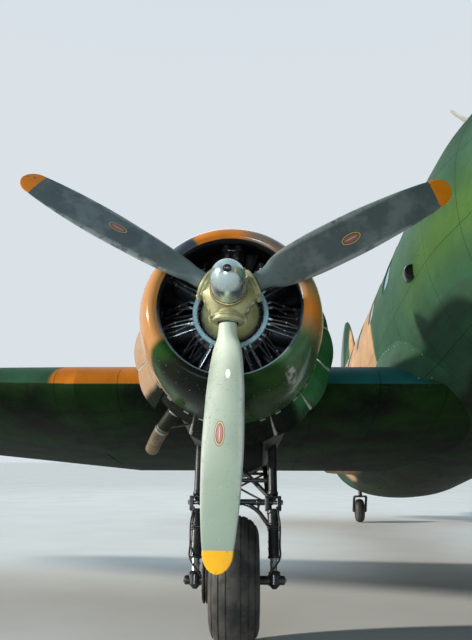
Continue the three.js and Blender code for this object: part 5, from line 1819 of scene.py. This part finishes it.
def exhaust(side, name):
    origin = hubFrame(side)
    piece = Piece("exhaustStack" + name.capitalize(), "exhaust", "nacelle", "dark", "steel")
    path = flowing([origin + vec(side * x, y, z) for x, y, z in stack["route"]], 8)
    radius, outlet = stack["radius"], stack["outlet"]
    piece.hose(path[:-outlet + 1], radius - 1, 32, tone=1, caps=False)
    piece.hose(path[-outlet:], radius + 1, 32, tone=0, caps=False)
    piece.hose(path[-outlet:], radius - stack["wall"], 32, tone=2, caps=False)
    way = unit(path[-1] - path[-2])
    piece.turned([(radius - stack["wall"], 0), (radius + 1, 0)], path[-1], way, 32)
    # A dark disc closes the pipe a little way in, a painted shade for its depth.
    piece.turned([(0, -stack["depth"]), (radius - stack["wall"], -stack["depth"])], path[-1], way, 32, tone=2)
    half = stack["bandHalf"]
    band = [(radius, -half), (radius + 6, -half), (radius + 6, half), (radius, half)]
    for k in stack["bands"]:
        piece.turned(band, path[k], unit(path[k + 1] - path[k - 1]), 32, tone=3, closed=True)
    # The thin brace from the outlet up to the nacelle.
    piece.bar(path[-8] + (0, 0, 40), (side * (engineX + 300), 4700, -470), 9, steps=10, tone=3)
    piece.done("airframe", ("exhaust_" + name,), "exhaust_metal", outward=True)


# Station, half the width, top and bottom.
nacelleRows = [(4050, 600, 600, -600), (4400, 600, 585, -650), (4900, 570, 530, -700), (5600, 530, 450, -720),
               (6400, 470, 350, -690), (7200, 370, 220, -610), (7900, 230, 40, -490), (8280, 90, -120, -400)]
nacelleCurves = curvesOf(nacelleRows)
well = {"half": 265, "front": 4350, "rear": 6100, "roof": -330, "corner": 0.10}
mountClocks = (25, 65, 115, 155, 205, 245, 295, 335)


def nacelle(side, name):
    piece = Piece("nacelleSkin" + name.capitalize(), "nacelle", "inside", "dark", "steel")
    centre = side * engineX

    def surface(s, turn, inset=0.0):
        s, turn = np.broadcast_arrays(np.asarray(s, float), np.asarray(turn, float))
        half, top, bottom = (curve(s) for curve in nacelleCurves)
        x = centre + (half - inset) * np.sin(turn)
        z = (top + bottom) / 2 - ((top - bottom) / 2 - inset) * np.cos(turn)
        return np.stack([x, s, z], axis=-1)

    def outline(u, v):
        u, v = rounded(u, v, well["corner"])
        s = (well["front"] + well["rear"]) / 2 + (well["rear"] - well["front"]) / 2 * u
        half = float(nacelleCurves[0](s))
        return s, math.asin(well["half"] * v / half)

    # Turns run from the top round by the bottom, so the well doesn't cross the seam.
    turns = -math.pi + np.arange(96) * full / 96
    front, rear = nacelleRows[0][0], nacelleRows[-1][0]
    inner = holedSkin(piece, np.linspace(front, rear, 90), turns, [outline], surface)[0]
    rim = surface(inner[:, 0], inner[:, 1])
    roof = rim.copy()
    roof[:, 2] = well["roof"]
    middle = rim * 0.5 + roof * 0.5
    piece.sheet([rim, middle, roof], around=True, tone=2)
    piece.put(roof, [tuple(range(len(roof)))], tone=2)
    # A rolled lip round the well, as pressed from the skin.
    rows = []
    for grown, inset in ((0.99, 14), (0.995, -7), (1.05, -9), (1.07, 2)):
        loop = holeLoop(outline, grown, 96)
        rows.append(surface(loop[:, 0], loop[:, 1], inset))
    piece.sheet(rows, around=True)
    # Firewall, tail end, and the tubes of the engine mount.
    wall = surface(front, turns, 2)
    piece.put(wall, [tuple(range(len(wall)))[::-1]], tone=2)
    piece.put(surface(rear, turns), [tuple(range(len(turns)))])
    for turn in np.radians(mountClocks):
        start = vec(centre, front - 170, 0) + radial(turn) * 300
        piece.bar(start, vec(centre, front + 6, 0) + radial(turn) * 520, 17, steps=10, tone=3)
    piece.done("airframe", ("nacelle_" + name,), "body_paint")


for name, side in sides.items():
    propeller(side, name)
    engine(side, name)
    cowl(side, name)
    cowlFlaps(side, name)
    exhaust(side, name)
    nacelle(side, name)
print("engines and propellers made")


# Landing gear

gear = {
    "legX": 345, "axleY": 5060, "axleZ": -1780, "tyreRadius": 545, "tyreHalf": 218, "rim": 215,
    "grooves": (60, 122, 176), "ringAt": (196, 224, 252), "drumEnd": 276,
    # station and height of the leg's parts
    "top": (5330, -520), "knee": (5200, -1105), "pivot": (5198, -1108), "oleoTop": (5194, -1180),
    "low": (5098, -1600), "link": (5210, -1640), "apex": (5420, -720), "cross": (5255, -900),
    # each collar's share of the oleo, radius and half width
    "collars": ((0.05, 58, 20), (0.30, 56, 12), (0.36, 60, 9), (0.42, 56, 12), (0.66, 53, 5), (0.80, 53, 5),
                (0.97, 55, 14)),
    # upper and lower end over the axle, their radii and the sides of each part of the clamp
    "clamp": ((78, 52, 46, 56, 28), (54, -46, 56, 54, 28), (-44, -73, 40, 20, 24)),
    # x out from the leg, or from the middle, then station and height
    "hose": ((30, 5150, -1150), (58, 5128, -1300), (54, 5092, -1480), (50, 5020, -1600), (-20, 4990, -1700),
             (-60, 5010, -1760)),
    "curvedBrace": ((34, 5200, -1108), (120, 5196, -1132), (205, 5186, -1186), (262, 5174, -1258),
                    (323, 5162, -1338)),
    "dragLow": (5140, -1541), "dragHigh": (6700, -560), "dragBars": ((5960, -1034), (6560, -650)),
}


def gearLegs(side, name):
    centre = side * engineX
    piece = Piece("gearLegs" + name.capitalize(), "gear", "chrome", "brake", "steel")

    def spot(x, y, z):
        return vec(centre + x, y, z)

    legX, axleY, axleZ = gear["legX"], gear["axleY"], gear["axleZ"]
    kneeY, kneeZ = gear["pivot"]

    # A bar with its two ends at given distances out along the same line across the plane.
    def across(start, end, place, radius, steps, tone=0):
        piece.bar(spot(start, *place), spot(end, *place), radius, steps=steps, tone=tone)

    for hand in (-1, 1):
        x = hand * legX
        top, knee = spot(x, *gear["top"]), spot(x, *gear["knee"])
        for start, end, radius, steps in ((1, 0.10, 41, 24), (0.17, 0.10, 49, 24), (0.10, 0.03, 30, 16)):
            piece.bar(knee + (top - knee) * start, knee + (top - knee) * end, radius, steps=steps)
        # Boxed knee: two cheeks, a bridge over and under, and the pivot through them.
        for cheek in (-1, 1):
            piece.slab(spot(x + cheek * 64, kneeY, kneeZ - 9), (22, 92, 128), cut=6)
            piece.bolt(spot(x + cheek * 75, kneeY, kneeZ), (cheek, 0, 0), 24, tone=3)
            piece.slab(spot(x + cheek * 50, kneeY - 38, kneeZ - 10), (26, 18, 100), cut=4)
        piece.slab(spot(x, kneeY, kneeZ + 46), (150, 92, 20), cut=6)
        piece.slab(spot(x, kneeY, kneeZ - 66), (150, 92, 18), cut=5)
        across(x - 76, x + 76, gear["pivot"], 19, 16, 3)
        # Oleo: outer tube with collars, the bright piston, then the axle clamp.
        a, b = spot(x, *gear["oleoTop"]), spot(x, *gear["low"])
        down = unit(b - a)
        piece.bar(a, b, 50, 49, steps=32)
        for share, radius, half in gear["collars"]:
            middle = a + (b - a) * share
            piece.bar(middle - down * half, middle + down * half, radius, steps=32)
        lug = a + (b - a) * 0.36
        piece.slab(lug + aft(-62), (70, 18, 16), cut=4)
        for cheek in (-1, 1):
            piece.bolt(lug + (cheek * 42, -58, 0), (cheek, 0, 0), 9, tone=3)
        piece.bar(b, spot(x, axleY + 8, axleZ + 60), 35, steps=28, tone=1)
        for high, low, radius, lowRadius, steps in gear["clamp"]:
            start, end = (spot(x, axleY, axleZ + rise) for rise in (high, low))
            piece.bar(start, end, radius, lowRadius, steps=steps)
        # Axle stub with its clamp band and end nut.
        axle = (axleY, axleZ)
        across(hand * 149, hand * 436, axle, 38, 28)
        across(hand * 396, hand * 432, axle, 39.5, 28)
        piece.bolt(spot(hand * 430, *axle), (hand, 0, 0), 24, tone=3)
        across(hand * 292, hand * 300, axle, 46, 28)
        # Torque links behind each leg.
        link = spot(x, *gear["link"])
        piece.bar(a + (b - a) * 0.92 + aft(40), link, 14, 11, steps=12)
        piece.bar(link, spot(x, axleY + 52, axleZ + 20), 11, 14, steps=12)
        across(x - 34, x + 34, gear["link"], 12, 12, 3)
        # Braces: one up and in from the knee, one curved from the cross tube down to the leg.
        piece.bar(knee + (0, 10, 14), spot(0, *gear["apex"]), 22, steps=16)
        brace = flowing([spot(hand * out, y, z) for out, y, z in gear["curvedBrace"]], 6)
        piece.hose(brace, np.linspace(17, 21, len(brace)), 14)
        piece.bar(spot(hand * 205, 5188, -1180), spot(hand * 215, 5198, -1106), 12, steps=12)
        # Brake hose down the leg.
        piece.hose(flowing([spot(x + hand * out, y, z) for out, y, z in gear["hose"]], 6), 8, 8, tone=2)
    # Cross tubes, and the sleeves on the lower one.
    across(-legX, legX, gear["knee"], 28, 20)
    across(-300, 300, gear["cross"], 20, 16)
    for hand in (-1, 1):
        across(hand * 190, hand * 232, gear["knee"], 33, 20)
    across(-40, 40, gear["knee"], 34, 20)
    # Brake on the outboard side: a drum with three thick cooling rings, and bolts.
    drum = [(60, 166), (168, 166)]
    for start in gear["ringAt"]:
        ring = ((168, 0), (187, 2), (191, 6), (191, 16), (187, 20), (168, 22))
        drum += [(radius, start + width) for radius, width in ring]
    drum += [(168, gear["drumEnd"]), (70, gear["drumEnd"] + 2)]
    hub = spot(0, axleY, axleZ)
    piece.turned([(radius, out * side) for radius, out in drum], hub, (1, 0, 0), 56, tone=2)
    wheelBolts(piece, hub, side, gear["drumEnd"], 10, 140, 9, 3)
    piece.done("airframe", ("gear_legs_" + name,), "gear_paint", outward=True)

    drag = Piece("gearDrag" + name.capitalize(), "gear", "steel")
    for hand in (-1, 1):
        low, high = spot(hand * legX, *gear["dragLow"]), spot(hand * 300, *gear["dragHigh"])
        for start, end, radius in ((0, 1, 28), (0, 0.06, 36), (0.5, 0.52, 35), (0.56, 0.58, 35)):
            drag.bar(low + (high - low) * start, low + (high - low) * end, radius, steps=20)
    front, rear = gear["dragBars"]
    drag.bar(spot(-320, *front), spot(320, *front), 16, steps=14)
    drag.bar(spot(-305, *rear), spot(305, *rear), 16, steps=14)
    drag.bar(spot(-308, *front), spot(300, *rear), 11, steps=12)
    drag.bar(spot(308, *front), spot(-300, *rear), 11, steps=12)
    drag.done("airframe", ("gear_drag_" + name,), "gear_paint", outward=True)


# A ring of bolts on the side of a wheel or a drum.
def wheelBolts(piece, origin, hand, out, count, radius, size, tone):
    for k in range(count):
        turn = k * full / count
        spot = origin + vec(hand * out, radius * math.cos(turn), radius * math.sin(turn))
        piece.bolt(spot, (hand, 0, 0), size, tone)


# Radius and distance across of a tyre's section: a full crown with square grooves, and its beads.
def tyreProfile(radius, half, rim, grooves, width, deep, bead=0.72):
    spots = [(rim, -half * bead)]
    edge = []
    for turn in np.linspace(-math.pi / 2, math.pi / 2, 61):
        wide = half * math.sin(turn) * min(1, 1.02 - 0.02 * math.cos(turn))
        reach = rim + 40 + (radius - rim - 40) * max(0.0, math.cos(turn)) ** 0.55
        edge.append((wide, reach))
    reachAt = curvesOf(edge)[0]
    places = list(np.linspace(-half, half, 90))
    for groove in grooves:
        places += [groove + width * share for share in (-1, -0.55, -0.45, 0.45, 0.55, 1)]
    for x in sorted(places):
        reach = float(reachAt(x))
        if any(abs(x - groove) < width * 0.5 for groove in grooves):
            reach -= deep
        spots.append((reach, x))
    spots.append((rim, half * bead))
    return spots


def wheels(side, name):
    origin = vec(side * engineX, gear["axleY"], gear["axleZ"])
    tyre = Piece("tyreTread" + name.capitalize(), "tyre")
    grooves = [hand * groove for hand in (-1, 1) for groove in gear["grooves"]]
    profile = tyreProfile(gear["tyreRadius"], gear["tyreHalf"], gear["rim"], grooves, 12, 8)
    tyre.turned(profile, origin, (1, 0, 0), 144)
    tyre.done("main_wheel_" + name, ("tyre_" + name,), "tyre", sharp=28, outward=True)
    disc = Piece("wheelDisc" + name.capitalize(), "gear", "steel")
    for hand in (-1, 1):
        profile = flowing([(70, 148), (76, 120), (96, 84), (130, 92), (160, 126), (182, 150)], 4).tolist()
        profile += [(190, 153), (206, 154), (214, 150), (214, 128), (205, 120), (205, 0)]
        cover = [(40, 130), (66, 138), (70, 148), (42, 148)]
        disc.turned([(radius, hand * out) for radius, out in profile], origin, (1, 0, 0), 72)
        disc.turned([(radius, hand * out) for radius, out in cover], origin, (1, 0, 0), 40, tone=1)
        wheelBolts(disc, origin, hand, 90, 10, 112, 9, 1)
    disc.done("main_wheel_" + name, ("wheel_" + name,), "gear_paint", outward=True)


tailLeg = {
    "castorY": 16480, "axle": (0, 16700, -71.6), "tyreRadius": 280, "tyreHalf": 105, "rim": 110,
    "grooves": (-46, 0, 46),
    "tine": ((132, 16480, 246), (146, 16500, 205), (147, 16600, 80), (146, 16700, -71)),
    "disc": ((34, 64), (44, 62), (50, 36), (74, 36), (94, 62), (104, 66), (109, 64), (109, 50), (104, 46),
             (104, 0)),
}


def tailGear():
    axle, y = vec(*tailLeg["axle"]), tailLeg["castorY"]
    strut = Piece("tailStrut", "gear", "chrome", "steel")
    for low, high, radius, topRadius in ((396, 470, 60, 64), (470, 800, 52, 52), (520, 545, 66, 66)):
        strut.bar((0, y, low), (0, y, high), radius, topRadius, steps=32)
    strut.bar((0, y + 40, 430), (0, y + 770, 780), 30, steps=20)
    strut.bar((0, y + 160, 488), (0, y + 420, 612), 20, steps=16, tone=1)
    strut.done("airframe", ("tail_strut",), "gear_paint", outward=True)
    fork = Piece("tailForkCasting", "gear", "steel")
    fork.bar((0, y, 255), (0, y, 394), 52, 49, steps=32)
    fork.bar((0, y, 330), (0, y, 352), 55, steps=32)
    fork.slab((0, y, 243), (324, 122, 38), cut=14)
    for hand in (-1, 1):
        tine = flowing([(hand * out, station, z) for out, station, z in tailLeg["tine"]], 6)
        fork.hose(tine, np.linspace(31, 30, len(tine)), 18)
        fork.bar(axle + (hand * 65, 0, 0), axle + (hand * 172, 0, 0), 20, steps=20, tone=1)
        fork.bar(axle + (hand * 118, 0, 0), axle + (hand * 168, 0, 0), 40, steps=24)
        fork.bolt(axle + (hand * 168, 0, 0), (hand, 0, 0), 17, tone=1)
    fork.done("tail_castor", ("tail_fork",), "gear_paint", outward=True)
    tyre = Piece("tailTyreTread", "tyre")
    radius, half, rim = (tailLeg[key] for key in ("tyreRadius", "tyreHalf", "rim"))
    profile = tyreProfile(radius, half, rim, tailLeg["grooves"], 9, 6)
    tyre.turned(profile, axle, (1, 0, 0), 96)
    tyre.done("tail_wheel_body", ("tail_tyre",), "tyre", sharp=28, outward=True)
    disc = Piece("tailWheelDisc", "gear", "steel")
    for hand in (-1, 1):
        disc.turned([(radius, hand * out) for radius, out in tailLeg["disc"]], axle, (1, 0, 0), 56)
        wheelBolts(disc, axle, hand, 38, 6, 62, 6, 1)
    disc.done("tail_wheel_body", ("tail_wheel",), "gear_paint", outward=True)


for name, side in sides.items():
    gearLegs(side, name)
    wheels(side, name)
tailGear()
print("gear made")


# Masts, scoops and lamps

fittings = {
    # station and height of the scoop, then distance aft, half height and reach of its hood's rows
    "scoop": (4140, 724), "hood": ((-56, 58, 74), (-40, 62, 80), (36, 57, 70), (120, 42, 40), (200, 15, 6)),
    # station, height and lean of the aerials; station and turn of the mast and of the pitot masts
    "aerials": ((4150, 330, 60), (8350, 240, 50)), "mast": (3290, 2.47), "pitot": (1000, 0.30),
    "beacon": 6600, "tailLamp": (0, 19396, 1200),
}


# A blade of oval sections from its foot to its top, wide along the plane and thin across it.
def mastBlade(piece, foot, reach, across, wide, thick, count):
    turns = np.linspace(0, full, 20, endpoint=False)
    rows = []
    for share in np.linspace(0, 1, count):
        long, thin = (size[0] + (size[1] - size[0]) * share for size in (wide, thick))
        rows.append(foot + reach * share + np.outer(long * np.cos(turns), (0, 1, 0))
                    + np.outer(thin * np.sin(turns), across))
    piece.sheet(rows, around=True, caps=True, tone=1)


def trim():
    piece = Piece("hullTrim", "body", "white", "gear", "steel", "dark", "lampWhite", "lampRed")
    # Scoop on the hull side over the wing root, seen as a small dark hood.
    s, z = fittings["scoop"]
    arc = np.linspace(-1, 1, 13)
    for side in (-1, 1):
        hood = []
        for d, wide, tall in fittings["hood"]:
            turns = np.array([hullTurn(s + d, z + wide * share, side) for share in arc])
            hood.append(onHull(s + d, turns, 1 - tall * np.sqrt(1 - arc ** 2)))
        piece.sheet(hood, tone=2)
        # A dark sheet fills the hood's mouth, a painted shade for the opening.
        piece.put(hood[1] + (0, 6, 0), [tuple(range(len(arc)))], tone=4)
    # Two blade aerials on the crown, and a mast high on the right side.
    for s, tall, lean in fittings["aerials"]:
        top = float(onHull(s, math.pi / 2)[2])
        mastBlade(piece, vec(0, s, top - 8), vec(0, lean, tall), (1, 0, 0), (65, 30), (9, 4.5), 7)
    foot = onHull(*fittings["mast"], 6)
    way = unit(onHull(*fittings["mast"], -50) - foot)
    mastBlade(piece, foot, way * 156, np.cross(way, (0, 1, 0)), (34, 18), (8, 5), 6)
    # Pitot masts under the nose.
    s, apart = fittings["pitot"]
    for side in (-1, 1):
        foot = onHull(s, -math.pi / 2 + side * apart)
        mast = flowing(foot + vec((0, 0, 20), (0, -6, -110), (0, -16, -210)), 5)
        piece.hose(mast, np.linspace(21, 13, len(mast)), 16, tone=2)
        piece.bar(foot + (0, 20, -214), foot + (0, -240, -214), 12, steps=16, tone=2)
        piece.bar(foot + (0, -240, -214), foot + (0, -300, -214), 8, 5, steps=14, tone=3)
    # A beacon on the crown and the tail lamp.
    crown = onHull(fittings["beacon"], math.pi / 2)
    dome = [(62, -4), (60, 6), (50, 9), (48, 60), (36, 82), (0, 92)]
    piece.turned(dome, crown * (0, 1, 1), (0, 0, 1), 32, tone=6)
    piece.turned([(36, 0), (36, 10), (30, 30), (0, 44)], fittings["tailLamp"], (0, 1, 0), 28, tone=5)
    piece.done("airframe", (), "body_paint", outward=True)


# Landing lamps sit behind glass in the outer wings' noses.
def wingLamps():
    piece = Piece("wingLamps", "glass", "lampWhite")
    start, end = wing["lampSpan"]
    u = np.concatenate([spread(0, 0.055, 9)[::-1], spread(0, 0.05, 9)[1:]])
    over = np.concatenate([np.ones(9), -np.ones(8)])
    for side in (-1, 1):
        rows = []
        for x in np.linspace(start, end, 9):
            rows.append((onWing(x, u, wingSide(x, u, over)) + aft(-1.2)) * (side, 1, 1))
        piece.sheet(rows, tone=0, flip=side < 0)
        centre = onWing((start + end) / 2, 0.03, 0.0) * (side, 1, 1)
        piece.turned([(0, 4), (60, 0), (78, -12)], centre + (0, 26, -4), (0, 1, 0), 32, tone=1)
    piece.done("airframe", (), "glass")


trim()
wingLamps()
print("trim made")


# Stage, light and camera

def stage():
    board = Board("studioFloor", roughness=0.75, specularIORLevel=0.2)
    board.color(board.mix((0.74, 0.74, 0.72), (0.69, 0.69, 0.675), board.noise(0.8, 3).over(0.5, 0.2)))
    mesh = bpy.data.meshes.new("studioFloor")
    half = 140.0
    corners = [(-half, -half, 0), (half, -half, 0), (half, half, 0), (-half, half, 0)]
    mesh.from_pydata(corners, [], [(0, 1, 2, 3)])
    mesh.materials.append(board.material)
    floor = bpy.data.objects.new("studioFloor", mesh)
    bpy.context.scene.collection.objects.link(floor)


# The studio is bright behind the plane and overhead, and dimmer on the near side.
def studio():
    world = bpy.context.scene.world or bpy.data.worlds.new("studio")
    bpy.context.scene.world = world
    world.use_nodes = True
    background = world.node_tree.nodes["Background"]
    background.inputs["Strength"].default_value = 1.0
    board = Board("studio", world.node_tree)
    way = board.split(board.node("ShaderNodeTexCoord", {}, {}, "Generated"))
    color = board.mix((0.12, 0.155, 0.19), (0.70, 0.76, 0.80), way[1].over(0.15, 0.40))
    color = board.mix(color, (0.42, 0.60, 0.72), way[2].over(0.72, 0.25))
    world.node_tree.links.new(color.socket, background.inputs["Color"])


sun = {"way": (0.95, 0.14, -0.27), "strength": 4.6, "color": (1.0, 0.95, 0.86), "angle": math.radians(3)}
lamps = {
    # place, aim, size, power, spread, colour
    "front": ((-6, -19, 2.6), (-2.8, -6.9, 2.66), 2.5, 120, math.radians(90), (0.80, 0.92, 1.0)),
    "back": ((-6, 20, 16), (0, 0, 2), 10, 500, math.pi, (0.9, 0.95, 1.0)),
}


def lights():
    data = bpy.data.lights.new("sunLight", "SUN")
    data.energy, data.angle, data.color = sun["strength"], sun["angle"], sun["color"]
    lamp = bpy.data.objects.new("sunLight", data)
    lamp.rotation_euler = Vector(sun["way"]).to_track_quat("-Z", "Y").to_euler()
    bpy.context.scene.collection.objects.link(lamp)
    for name, (place, aim, size, power, spread, color) in lamps.items():
        data = bpy.data.lights.new(name + "Light", "AREA")
        data.energy, data.size, data.spread, data.color = power, size, spread, color
        lamp = bpy.data.objects.new(name + "Light", data)
        lamp.location = place
        lamp.rotation_euler = (Vector(aim) - Vector(place)).to_track_quat("-Z", "Y").to_euler()
        bpy.context.scene.collection.objects.link(lamp)


view = {"place": (-2.6729, -11.6689, 1.6089), "yaw": math.radians(-1.2451), "pitch": math.radians(10.7516),
        "roll": math.radians(0.1545), "focal": 713.26, "height": 640}


def camera():
    data = bpy.data.cameras.new("photoView")
    data.sensor_width = 36
    data.lens = view["focal"] * data.sensor_width / view["height"]
    made = bpy.data.objects.new("photoView", data)
    turn = Matrix.Rotation(-view["yaw"], 4, "Z") @ Matrix.Rotation(math.pi / 2 + view["pitch"], 4, "X")
    turn = turn @ Matrix.Rotation(view["roll"], 4, "Z")
    made.matrix_world = Matrix.Translation(view["place"]) @ turn
    bpy.context.scene.collection.objects.link(made)
    bpy.context.scene.camera = made


stage()
studio()
lights()
camera()
bpy.context.scene.view_settings.view_transform = "Standard"
print("stage set")
